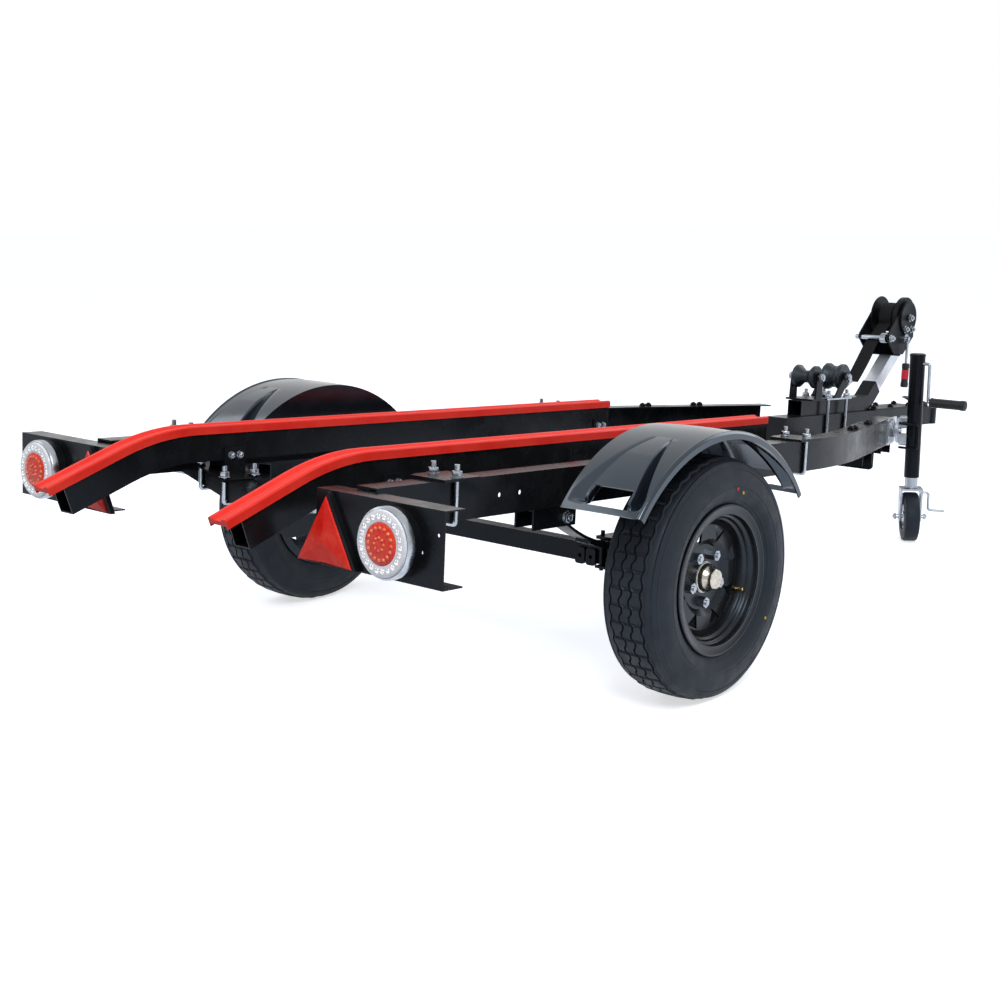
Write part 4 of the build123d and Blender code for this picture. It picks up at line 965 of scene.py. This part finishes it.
@dataclass
class Fender(SubAssembly):
    """Moulded fender with a tongue, two recesses and a slot at each end."""

    side: Side = Side.RIGHT
    inner_x: float = 0.530
    outer_x: float = 0.740
    radius: float = 0.400
    centre_y: float = -0.030
    centre_z: float = 0.212
    foot_z: float = 0.450
    crown_x: float = 0.635
    crown_half: float = 0.105
    crown_fall: float = 0.003
    tongue_x: float = 0.645
    tongue_high: float = 0.008
    tongue_rise: float = 2.2
    tongue_half: tuple[float, float] = (0.018, 0.040)
    inner_wide: tuple[float, float] = (0.0045, 0.044)
    outer_wide: tuple[float, float] = (0.0045, 0.0195)
    recess_deep: float = 0.017
    recess_from: float = 37.0
    recess_run: float = 30.0
    end_flat: float = 2.2
    end_fade: float = 2.4
    slot_to: float = 8.6
    slot_lanes: tuple[int, int] = (21, 37)
    along: int = 200
    step: float = 0.004
    rim: float = 0.012
    rim_bead: float = 0.0035
    rim_fall: float = 0.003
    lip: float = 0.012
    wall: float = 0.0035

    @property
    def half_arc(self) -> float:
        """Half of the fender's arc in radians."""
        return math.acos((self.foot_z - self.centre_z) / self.radius)

    def left(self, turn: float) -> float:
        """Degrees that are left from a place to the end of the fender.

        Args:
            turn: angle from the top in radians.

        Returns:
            The degrees.
        """
        return math.degrees(self.half_arc - abs(turn))

    def reach(self, turn: float) -> float:
        """How far the end recesses have grown, from 0 to 1.

        Args:
            turn: angle from the top in radians.

        Returns:
            The share.
        """
        return min(1.0, max(0.0, (self.recess_from - self.left(turn)) / self.recess_run))

    def widths(self, turn: float) -> Triple:
        """Half width of the tongue, and widths of the recesses on its inner and outer side.

        Args:
            turn: angle from the top in radians.

        Returns:
            The three widths.
        """
        reach = self.reach(turn)
        return tuple(
            least + grown * reach
            for least, grown in (self.tongue_half, self.inner_wide, self.outer_wide)
        )

    def lanes(self, turn: float) -> list[float]:
        """Places across the shell, so that the edges of the recesses lie on lanes.

        Args:
            turn: angle from the top in radians.

        Returns:
            Distances from the centre line.
        """
        half, inner, outer = self.widths(turn)
        mid, step = self.tongue_x, self.step
        result = [self.inner_x]
        for stop, count in (
            (mid - half - inner, 6), (mid - half - step, 8), (mid - half, 4),
            (mid - 0.9 * half, 3), (mid + 0.9 * half, 16), (mid + half, 3),
            (mid + half + step, 4), (mid + half + outer, 8),
            (self.outer_x - self.rim, 3), (self.outer_x, 6),
        ):
            start = result[-1]
            result += [start + (stop - start) * i / count for i in range(1, count + 1)]
        return result

    def height(self, x: float, turn: float) -> float:
        """Radius of the outer skin at a place.

        Args:
            x: distance from the centre line.
            turn: angle from the top in radians.

        Returns:
            The radius.
        """
        r = self.radius - self.crown_fall * ((x - self.crown_x) / self.crown_half) ** 2
        edge = (self.outer_x - x) / self.rim
        if edge < 1:
            r += self.rim_bead * math.sin(math.pi * edge) - self.rim_fall * (1 - edge) ** 2
        reach = self.reach(turn)
        if reach > 0:
            fade = ease((self.left(turn) - self.end_flat) / self.end_fade)
            half, inner, outer = self.widths(turn)
            beyond = abs(x - self.tongue_x) - half
            slope = ease(beyond / self.step)
            r += self.tongue_high * (1.0 - slope) * min(1.0, self.tongue_rise * reach) * fade
            wide = outer if x > self.tongue_x else inner
            if beyond > self.step:
                slope = max(0.0, 1.0 - (beyond - self.step) / (wide - self.step))
            r -= self.recess_deep * reach * fade * slope
        return r

    def point(self, x: float, r: float, turn: float) -> Triple:
        """Point at a radius about the fender's axis.

        Args:
            x: distance from the centre line.
            r: the radius.
            turn: angle from the top in radians.

        Returns:
            The point.
        """
        return (x, self.centre_y + r * math.sin(turn), self.centre_z + r * math.cos(turn))

    def build(self) -> None:
        """Build one fender as a single moulded shell."""
        turns = [self.half_arc * (2 * k / self.along - 1) for k in range(self.along + 1)]
        points = [self.point(x, self.height(x, t), t) for t in turns for x in self.lanes(t)]
        row = len(points) // len(turns)
        across = row - 1
        faces = []
        for k in range(self.along):
            slotted = self.end_flat < self.left((turns[k] + turns[k + 1]) / 2) < self.slot_to
            for i in range(across):
                if not slotted or i not in range(*self.slot_lanes):
                    a = k * row + i
                    faces.append((a, a + 1, a + row + 1, a + row))
        first = len(points)
        for turn in turns:
            under = self.height(self.outer_x, turn) - self.lip
            points.append(self.point(self.outer_x, under, turn))
        second = len(points)
        for turn in turns:
            y = self.point(self.inner_x, self.height(self.inner_x, turn), turn)[1]
            points.append((self.inner_x, y, self.foot_z))
        for k in range(self.along):
            a = k * row + across
            faces.append((a, first + k, first + k + 1, a + row))
        for k in range(self.along):
            a = k * row
            faces.append((a, a + row, second + k + 1, second + k))
        shell = mesh_piece("fender_shell_" + self.side.word, points, faces)
        tidy_shell(shell)
        modifier(shell, "SOLIDIFY", thickness=self.wall, offset=-1.0, use_even_offset=False)
        mirror = Matrix.Diagonal((self.side.value, 1, 1, 1))
        settle(shell, shell.name, STANCE.matrix() @ mirror)
        tidy_shell(shell, 0.000001)
        self.place(shell, "chassis", FENDER_PLASTIC, "black_plastic", 32)
        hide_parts("fender_" + self.side.word)


LAMP_RINGS = (
    ("lamp_red_", RED_LENS, "red_reflector", [
        (-0.002, 0.0002), (0.0050, 0.0002), (0.0046, 0.020), (0.0034, 0.036), (0.0012, 0.0400),
        (-0.002, 0.0402), (-0.002, 0.0002),
    ]),
    ("lamp_clear_", CLEAR_RING, "lamp", [
        (-0.002, 0.0405), (0.0012, 0.0405), (0.0022, 0.0430), (0.0022, 0.0570), (0.0006, 0.0618),
        (-0.006, 0.0645), (-0.006, 0.0405), (-0.002, 0.0405),
    ]),
    ("lamp_bezel_", ZINC, "zinc", [
        (-0.020, 0.0684), (-0.008, 0.0684), (-0.0052, 0.0670), (-0.0040, 0.0642), (-0.006, 0.0632),
        (-0.020, 0.0632), (-0.020, 0.0684),
    ]),
)
LAMP_DOMES = (
    ("lamp_red_leds_", RED_LED, "red_reflector",
     ((8, 0.0120, 0.0036, 0.0085), (16, 0.0300, 0.0046, 0.0070))),
    ("lamp_clear_leds_", CHROME_LED, "lamp", ((22, 0.0505, 0.0062, 0.0045),)),
)


@dataclass
class RearLights(SubAssembly):
    """Round lamp with its LED rings, and the triangle beside it."""

    side: Side = Side.RIGHT
    lamp_x: float = 0.570
    lamp_z: float = 0.436
    face_y: float = -0.915
    triangle_x: float = 0.394
    triangle_shift: float = -0.004
    triangle_foot: float = 0.3663
    triangle_side: float = 0.152
    triangle_back: float = -0.8872
    triangle_face: float = -0.8905
    triangle_taper: float = 0.965
    triangle_peak: float = 0.0050

    def domes(self, count: int, ring: float, size: float, depth: float) -> list[Piece]:
        """A ring of small domes on the lamp's face.

        Args:
            count: number of domes.
            ring: radius of the ring.
            size: radius of each dome.
            depth: how far each dome stands out.

        Returns:
            The domes.
        """
        clear_selection()
        bpy.ops.mesh.primitive_uv_sphere_add(segments=14, ring_count=8, radius=size)
        one = bpy.context.object
        flat = Matrix.Diagonal((1, depth / size, 1, 1))
        result = []
        for k in range(count):
            a = math.tau * k / count
            x = self.side.value * self.lamp_x + ring * math.cos(a)
            foot = Matrix.Translation((x, self.face_y, self.lamp_z + ring * math.sin(a)))
            result.append(copied(one, foot @ flat))
        bpy.data.objects.remove(one)
        return result

    def build(self) -> None:
        """Build the lamp and the triangle of one side."""
        word = self.side.word
        park = STANCE.matrix()
        foot = Matrix.Translation((self.side.value * self.lamp_x, self.face_y, self.lamp_z))
        face = park @ foot @ Matrix.Rotation(-QUARTER, 4, "Z")
        for name, finish, slot, outline in LAMP_RINGS:
            ring = spun(name + word, outline, ORIGIN, 64)
            self.place(ring, "chassis", finish, slot, 30, face)
        for name, finish, slot, rings in LAMP_DOMES:
            domes = joined(name + word, [dome for ring in rings for dome in self.domes(*ring)])
            self.place(domes, "chassis", finish, slot, 60, park)
        self.place(self.triangle(), "chassis", REFLECTOR_RED, "red_reflector", 0, park)
        for node in ("lamp_", "triangle_"):
            self.palette.dress_node(self.frame["nodes"][node + word], SATIN_BLACK)

    def triangle(self) -> Piece:
        """Model the faceted triangle.

        Returns:
            The triangle, in the level chassis.
        """
        side, base = self.triangle_side, self.triangle_foot
        tall = side * math.sqrt(3) / 2
        middle = base + tall / 3
        x0 = self.side.value * self.triangle_x + self.triangle_shift
        back, face, taper = self.triangle_back, self.triangle_face, self.triangle_taper
        corners = [(-side / 2, 0.0), (side / 2, 0.0), (0.0, tall)]
        points = [(x0 + x, back, base + z) for x, z in corners]
        points += [(x0 + taper * x, face, middle + taper * (z - tall / 3)) for x, z in corners]
        points += [
            (x0, face - self.triangle_peak, middle), (x0, face + 0.0010, base + 0.004),
        ]
        faces = [(a, b, b + 3, a + 3) for a, b in ((0, 1), (1, 2), (2, 0))]
        faces += [(3, 7, 6), (7, 4, 6), (4, 5, 6), (5, 3, 6)]
        lens = mesh_piece("triangle_lens_" + self.side.word, points, faces)
        tidy_shell(lens)
        return lens


@dataclass
class Fasteners(SubAssembly):
    """Bolts and nuts that show on the chassis."""

    crossmember_y: tuple[float, float] = (-0.605, 0.775)
    bunk_x: float = 0.260
    bend_y: float = 1.2093
    bend_slope: float = math.tan(math.radians(17))
    bent_rail_x: float = 0.3768

    def places(self) -> dict[str, list[Place]]:
        """Foot and direction of each bolt, in the level chassis.

        Returns:
            The places in each set.
        """
        rail = []
        for y in (1.185, 1.215, 1.395, 1.420):
            rail += paired(self.bent_rail_x - max(0.0, y - self.bend_y) * self.bend_slope, y, 0.516)
        plate = [spot for y in (1.995, 2.120, 2.260) for spot in paired(0.029, y, 0.512)]
        saddle, hanger = [], []
        nuts = [spot for y in (1.647, 1.768) for spot in paired(0.043, y, 0.561)]
        for sign in (1, -1):
            way = (sign, 0, 0)
            for y in (-0.240, 0.240):
                hanger += paired(0.432 + sign * 0.0275, y, 0.405, way)
            for y in self.crossmember_y:
                for dy in (-0.012, 0.012):
                    saddle += paired(self.bunk_x + sign * 0.0272, y + dy, 0.489, way)
                nuts += paired(0.4325 + sign * 0.033, y, 0.522)
                x = self.bunk_x + sign * 0.04347
                for dy in (-0.043, 0.043):
                    nuts += paired(x, y + dy, 0.3843 + 0.268 * x)
        rollers = paired(0.050, 1.572, 0.632, OUT) + paired(0.045, 1.760, 0.627, OUT)
        return {
            "rail_top_bolts": rail, "coupler_plate_bolts": plate, "bunk_saddle_bolts": saddle,
            "hanger_bolts": hanger, "u_bolt_nuts": nuts, "roller_nuts": rollers,
        }

    def build(self) -> None:
        """Build the sets of bolts."""
        places = self.places()
        for name, sizes, finish, slot in (
            ("rail_top_bolts", (0.017, 0.006, 0.011, 0.003), SATIN_BLACK, "black_paint"),
            ("coupler_plate_bolts", (0.017, 0.007, 0.011, 0.003), SATIN_BLACK, "black_paint"),
            ("bunk_saddle_bolts", (0.013, 0.006, 0.009, 0.003), ZINC, "zinc"),
            ("hanger_bolts", (0.022, 0.009, 0.014, 0.002), ZINC, "zinc"),
            ("u_bolt_nuts", (0.0200, 0.0110, 0.0130, 0.0130), ZINC, "zinc"),
            ("roller_nuts", (0.0220, 0.0100, 0.0130, 0.0020), ZINC, "zinc"),
        ):
            bolts = HexBolt(*sizes).set_of(name, places[name], STANCE.matrix())
            self.place(bolts, "chassis", finish, slot)


STRAP_ROUTE = (
    (2.0960, 0.8050), (2.0740, 0.7890), (2.0500, 0.7710), (2.0290, 0.7550), (2.0170, 0.7462),
    (2.0060, 0.7370), (1.9860, 0.7140), (1.9560, 0.6790), (1.9240, 0.6450), (1.9000, 0.6200),
    (1.8862, 0.6072),
)
STRAP_PROFILE = (
    (-1.0, 0.0), (-0.96, 0.9), (-0.84, 1.0), (-0.80, 0.72), (0.80, 0.72), (0.84, 1.0),
    (0.96, 0.9), (1.0, 0.0), (0.96, -0.9), (0.84, -1.0), (0.80, -0.72), (-0.80, -0.72),
    (-0.84, -1.0), (-0.96, -0.9),
)
GRIP_TRIM = (
    ("winch_crank_grip", GRIP_RUBBER, "black_paint", [
        (-0.003, 0.0005), (-0.003, 0.0105), (0.001, 0.0130), (0.012, 0.0130), (0.016, 0.0118),
        (0.060, 0.0118), (0.068, 0.0132), (0.077, 0.0132), (0.081, 0.0105), (0.081, 0.0005),
    ]),
    ("winch_grip_band", RED_BAND, "red_plastic", [
        (0.020, 0.0110), (0.020, 0.0126), (0.052, 0.0126), (0.052, 0.0110), (0.020, 0.0110),
    ]),
)
WINCH_DISCS = (
    ("winch_near_flange", [
        (0.0338, 0.0310), (0.0338, 0.0694), (0.0350, 0.0714), (0.0490, 0.0716), (0.0502, 0.0704),
        (0.0502, 0.0310),
    ]),
    ("winch_far_flange", [
        (-0.0502, 0.0310), (-0.0502, 0.0704), (-0.0490, 0.0716), (-0.0462, 0.0716),
        (-0.0448, 0.0702), (-0.0448, 0.0310),
    ]),
    ("winch_cover", [
        (0.0552, 0.0080), (0.0552, 0.0582), (0.0610, 0.0588), (0.0622, 0.0574), (0.0626, 0.0540),
        (0.0622, 0.0524), (0.0622, 0.0080),
    ]),
)


@dataclass
class WinchStand(SubAssembly):
    """Winch trim: strap, crank grip, cross rod, discs, nuts and pinion."""

    drum_y: float = 2.142
    drum_z: float = 0.828
    pinion_y: float = 2.018
    pinion_z: float = 0.757
    grip_at: Triple = (0.075, 2.120, 0.667)
    strap_x: float = -0.0055
    strap_half: float = 0.0235
    strap_thick: float = 0.0014
    strap_lean: float = 0.0035
    rod_x: float = -0.0125
    rod_radius: float = 0.0082
    rod_long: float = 0.117
    teeth: int = 12
    tooth_tip: float = 0.0165
    tooth_foot: float = 0.0135

    def ribbon(self) -> Piece:
        """Lead the webbing from the barrel under the cross rod to the bow hook.

        Returns:
            The run of webbing, which is doubled at the hook.
        """
        line = spline([Vector(spot) for spot in STRAP_ROUTE], 6)
        end = len(line) - 1
        points, faces = [], []
        for k, spot in enumerate(line):
            ahead = (line[min(k + 1, end)] - line[max(k - 1, 0)]).normalized()
            across = Vector((-ahead.y, ahead.x))
            share = k / end
            thick = self.strap_thick * (1.0 + 0.75 * ease((share - 0.80) / 0.02))
            lean = self.strap_lean * math.sin(math.pi * ease((share - 0.4) / 0.6))
            for px, pn in STRAP_PROFILE:
                at = spot + across * (pn * thick + px * lean)
                points.append((self.strap_x + px * self.strap_half, at.x, at.y))
        n = len(STRAP_PROFILE)
        for start in range(0, end * n, n):
            for i in range(n):
                j = (i + 1) % n
                faces.append((start + i, start + j, start + n + j, start + n + i))
        faces += [tuple(reversed(range(n))), tuple(range(end * n, end * n + n))]
        run = mesh_piece("strap_run", points, faces)
        tidy_shell(run)
        return run

    def strap(self) -> None:
        """Wind the webbing on the barrel and join its run to it."""
        half = self.strap_half
        near = [
            (half, 0.0300), (half, 0.0495), (half - 0.0010, 0.0510), (half - 0.0040, 0.0513),
            (half - 0.0048, 0.0507),
        ]
        barrel = Vector((self.strap_x, self.drum_y, self.drum_z))
        roll = spun("strap_roll", [(-x, r) for x, r in near] + near[::-1], barrel, 72)
        webbing = joined("strap_webbing", [roll, self.ribbon()])
        self.place(webbing, "chassis", WEBBING, "webbing", 40, STANCE.matrix())
        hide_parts("winch_strap")

    def pinion(self) -> Piece:
        """Model the small toothed wheel on the cross rod.

        Returns:
            The pinion, in the level chassis.
        """
        ring = []
        for k in range(self.teeth):
            a = math.tau * k / self.teeth
            ring += [(self.tooth_tip, a - 0.17), (self.tooth_tip, a - 0.08)]
            ring += [(self.tooth_foot, a - 0.02), (self.tooth_foot, a + 0.10)]
        points = []
        for x in (0.026, 0.046):
            for r, a in ring:
                points.append(
                    (x, self.pinion_y + r * math.cos(a), self.pinion_z + r * math.sin(a))
                )
        n = len(ring)
        faces = [tuple(reversed(range(n))), tuple(range(n, 2 * n))]
        faces += [(i, (i + 1) % n, n + (i + 1) % n, n + i) for i in range(n)]
        piece = mesh_piece("winch_pinion", points, faces)
        tidy_shell(piece)
        return piece

    def build(self) -> None:
        """Build the winch's turned and moulded trim."""
        park = STANCE.matrix()
        self.strap()
        handle = park @ Matrix.Translation(self.grip_at) @ Matrix.Rotation(QUARTER, 4, "Y")
        for name, finish, slot, outline in GRIP_TRIM:
            self.place(spun(name, outline, ORIGIN, 32), "chassis", finish, slot, 30, handle)
        middle = (self.rod_x, self.pinion_y, self.pinion_z)
        rod = cylinder(
            "winch_cross_rod", 32, self.rod_radius, self.rod_long, middle, True, ROUNDED
        )
        self.place(rod, "chassis", ZINC, "zinc", 35, park)
        drum = Vector((0, self.drum_y, self.drum_z))
        for name, outline in WINCH_DISCS:
            disc = spun(name, outline, drum, 96)
            self.place(disc, "chassis", SATIN_BLACK, "black_paint", 35, park)
        places = [
            (Vector((x, y, z)), Vector((math.copysign(1, x), 0, 0))) for x, y, z in (
                (0.066, self.drum_y, self.drum_z),
                (-0.062, self.drum_y, self.drum_z),
                (0.062, self.pinion_y, self.pinion_z),
                (0.0621, self.drum_y - 0.022, self.drum_z - 0.040),
                (0.0621, self.drum_y + 0.022, self.drum_z - 0.040),
            )
        ]
        nuts = HexBolt(0.019, 0.009, 0.013, 0.005).set_of("winch_nuts", places, park)
        self.place(nuts, "chassis", ZINC, "zinc")
        self.place(self.pinion(), "chassis", ZINC, "zinc", 0, park)


JOCKEY_TYRE_OUTLINE = [
    (-0.0240, 0.045), (-0.0240, 0.070), (-0.0215, 0.0775), (-0.0160, 0.0800), (0.0160, 0.0800),
    (0.0215, 0.0775), (0.0240, 0.070), (0.0240, 0.045), (0.0200, 0.042), (-0.0200, 0.042),
    (-0.0240, 0.045),
]
JOCKEY_HUB_OUTLINE = [
    (-0.0225, 0.0062), (-0.0225, 0.016), (-0.0130, 0.020), (-0.0110, 0.036), (-0.0190, 0.0419),
    (0.0190, 0.0419), (0.0110, 0.036), (0.0130, 0.020), (0.0225, 0.016), (0.0225, 0.0062),
    (-0.0225, 0.0062),
]


@dataclass
class JockeyStand(SubAssembly):
    """Crank grip of the jockey stand, and its wheel's tyre, hub and nuts."""

    wheel_at: Triple = (0.308364, 1.037185, 0.080)
    wheel_turn: float = 35.0
    grip_at: Triple = (0.3644, 1.031185, 0.461)
    ridges_to: float = 0.098
    ridge_pitch: float = 0.0068
    nut_x: float = 0.0436

    def build(self) -> None:
        """Build the pieces of the stand."""
        outline = [(0.0, 0.0052), (0.0, 0.0150), (0.004, 0.0165), (0.009, 0.0150)]
        x = 0.012
        while x < self.ridges_to:
            outline += [
                (x, 0.0143), (x + 0.0018, 0.0151), (x + 0.0046, 0.0151), (x + 0.0060, 0.0143),
            ]
            x += self.ridge_pitch
        outline += [
            (0.101, 0.0156), (0.106, 0.0166), (0.116, 0.0158), (0.118, 0.0115), (0.118, 0.0003),
        ]
        grip = spun("jockey_crank_grip", outline, Vector(self.grip_at), 36)
        self.place(grip, "jockey_stand", GRIP_RUBBER, "black_paint", 40)
        turn = Matrix.Rotation(math.radians(self.wheel_turn), 4, "Z")
        wheel = Matrix.Translation(self.wheel_at) @ turn
        tread = spun("jockey_tyre", JOCKEY_TYRE_OUTLINE, ORIGIN, 56)
        self.place(tread, "jockey_wheel", TYRE_RUBBER, "jockey_tread", 40, wheel)
        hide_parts("jockey_wheel")
        hub = spun("jockey_wheel_hub", JOCKEY_HUB_OUTLINE, ORIGIN, 48)
        self.place(hub, "jockey_wheel", ZINC, "zinc", 30, wheel)
        ends = paired(self.nut_x, 0, 0, OUT)
        nuts = HexBolt(0.017, 0.006, 0.010, 0.003).set_of("jockey_axle_nuts", ends, wheel)
        self.place(nuts, "jockey_fork", ZINC, "zinc")


NODE_FINISHES: dict[str, Finish] = {
    name: finish
    for finish, names in (
        (ZINC, ("u_bolts", "bow_hook", "stand_plate", "winch_crank", "jockey_swivel",
                "jockey_clamp", "jockey_leg", "jockey_fork", "jockey_crank")),
        (GALVANISED, ("winch_post",)),
        (SATIN_BLACK, ("coupler", "coupler_lever", "fender_stays", "winch_frame", "winch_drum",
                       "jockey_loop")),
        (ROLLER_RUBBER, ("keel_roller", "bow_roller", "jockey_wheel")),
        (WEBBING, ("winch_strap",)),
        (RED_STRIP, ("bunk_strip_right", "bunk_strip_left")),
    )
    for name in names
}
FRAME_PX = 1000.0
SENSOR_MM = 36.0
WHITE = (1, 1, 1, 1)


def seen_rays(tree: Tree) -> bpy.types.NodeSocket:
    """Mask of the rays by which a background is seen, straight, in metal or through glass.

    Args:
        tree: the node tree.

    Returns:
        The mask's socket.
    """
    rays = add(tree, "LightPath").outputs
    seen = rays["Is Camera Ray"]
    for kind in ("Is Glossy Ray", "Is Transmission Ray"):
        seen = add(tree, "Math", {0: seen, 1: rays[kind]}, operation="MAXIMUM").outputs["Value"]
    return seen


@dataclass
class Studio:
    """Pale floor, plain soft light and the camera.

    Args:
        camera_at: place of the camera.
        right: its right hand.
        forward: its view.
        focal_px: focal length in pixels of a 1000 pixel frame.
        middle_px: principal point in that frame.
    """

    camera_at: Triple = (2.495, -2.756 + STANCE.axle_y, 1.117)
    right: Triple = (0.7529, 0.6582, 0.0)
    forward: Triple = (-0.6457, 0.7387, -0.1937)
    focal_px: float = 1505.5
    middle_px: tuple[float, float] = (507.4, 491.5)

    def camera(self) -> None:
        """Place the camera."""
        data = bpy.data.cameras.new("camera")
        data.sensor_width = SENSOR_MM
        data.lens = self.focal_px / FRAME_PX * SENSOR_MM
        data.shift_x = 0.5 - self.middle_px[0] / FRAME_PX
        data.shift_y = self.middle_px[1] / FRAME_PX - 0.5
        camera = bpy.data.objects.new("camera", data)
        bpy.context.scene.collection.objects.link(camera)
        back = -Vector(self.forward).normalized()
        upward = back.cross(Vector(self.right)).normalized()
        right = upward.cross(back).normalized()
        matrix = Matrix((right, upward, back)).transposed().to_4x4()
        matrix.translation = Vector(self.camera_at)
        camera.matrix_world = matrix
        bpy.context.scene.camera = camera

    def world(self) -> None:
        """Light the scene evenly, and show white to the camera."""
        world = bpy.data.worlds.new("studio")
        world.use_nodes = True
        bpy.context.scene.world = world
        tree = world.node_tree
        place = add(tree, "TexCoord").outputs["Generated"]
        height = add(tree, "SeparateXYZ", {"Vector": place}).outputs["Z"]
        sky = add(tree, "ValToRGB", {"Fac": height})
        stops = sky.color_ramp.elements
        stops[0].color = (0.05, 0.055, 0.06, 1)
        stops[1].color = (0.55, 0.66, 0.86, 1)
        stops.new(0.22).color = (0.16, 0.18, 0.21, 1)
        shown = add(
            tree, "Mix",
            {"A": sky.outputs["Color"], "B": WHITE, "Factor": seen_rays(tree)}, data_type="RGBA",
        )
        feed(tree, tree.nodes["Background"], {"Color": shown.outputs["Result"]})

    def lights(self) -> None:
        """Add a large soft key, a fill and a front light."""
        for name, place, aim, size, power in (
            ("key", (3.4, -3.6, 4.6), (0.2, 0.0, 0.3), 2.6, 215.0),
            ("fill", (-4.2, -2.4, 3.6), (0.0, 0.0, 0.3), 3.6, 70.0),
            ("front", (1.6, 4.4, 3.4), (0.0, 0.4, 0.3), 3.0, 60.0),
        ):
            data = bpy.data.lights.new(name, "AREA")
            data.energy = power
            data.size = size
            lamp = bpy.data.objects.new(name, data)
            bpy.context.scene.collection.objects.link(lamp)
            lamp.location = place
            way = Vector(aim) - Vector(place)
            lamp.rotation_euler = way.to_track_quat("-Z", "Y").to_euler()

    def floor(self, half: float = 40.0, glow: float = 0.62) -> None:
        """Lay the pale floor.

        Args:
            half: half of its width.
            glow: strength of its own light.
        """
        corners = [(-half, -half, 0), (half, -half, 0), (half, half, 0), (-half, half, 0)]
        floor = mesh_piece("floor", corners, [(0, 1, 2, 3)])
        material = bpy.data.materials.new("pale_floor")
        material.use_nodes = True
        tree = material.node_tree
        seen = seen_rays(tree)
        strength = add(tree, "Math", {0: seen, 1: glow}, operation="MULTIPLY")
        tone = add(
            tree, "Mix",
            {"A": (0.20, 0.20, 0.21, 1), "B": (0.90, 0.90, 0.90, 1), "Factor": seen},
            data_type="RGBA",
        )
        feed(tree, tree.nodes["Principled BSDF"], {
            "Base Color": tone.outputs["Result"],
            "Roughness": 0.9,
            "Specular IOR Level": 0.1,
            "Emission Color": WHITE,
            "Emission Strength": strength.outputs["Value"],
        })
        floor.data.materials.append(material)

    def build(self) -> None:
        """Set up the studio."""
        self.camera()
        self.world()
        self.lights()
        self.floor()
        bpy.context.scene.view_settings.view_transform = "Standard"


def main() -> None:
    """Dress the trailer and set up the studio."""
    logging.basicConfig(level=logging.INFO, format="%(name)s: %(message)s")
    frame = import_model()
    palette = Palette()
    palette.start()
    for name, node in frame["nodes"].items():
        palette.dress_node(node, NODE_FINISHES.get(name, BLACK_PAINT))
    for side in Side:
        RoadWheel(palette, frame, side=side).build()
        Fender(palette, frame, side=side).build()
        RearLights(palette, frame, side=side).build()
    Fasteners(palette, frame).build()
    WinchStand(palette, frame).build()
    JockeyStand(palette, frame).build()
    Studio().build()


if __name__ == "__main__":
    main()
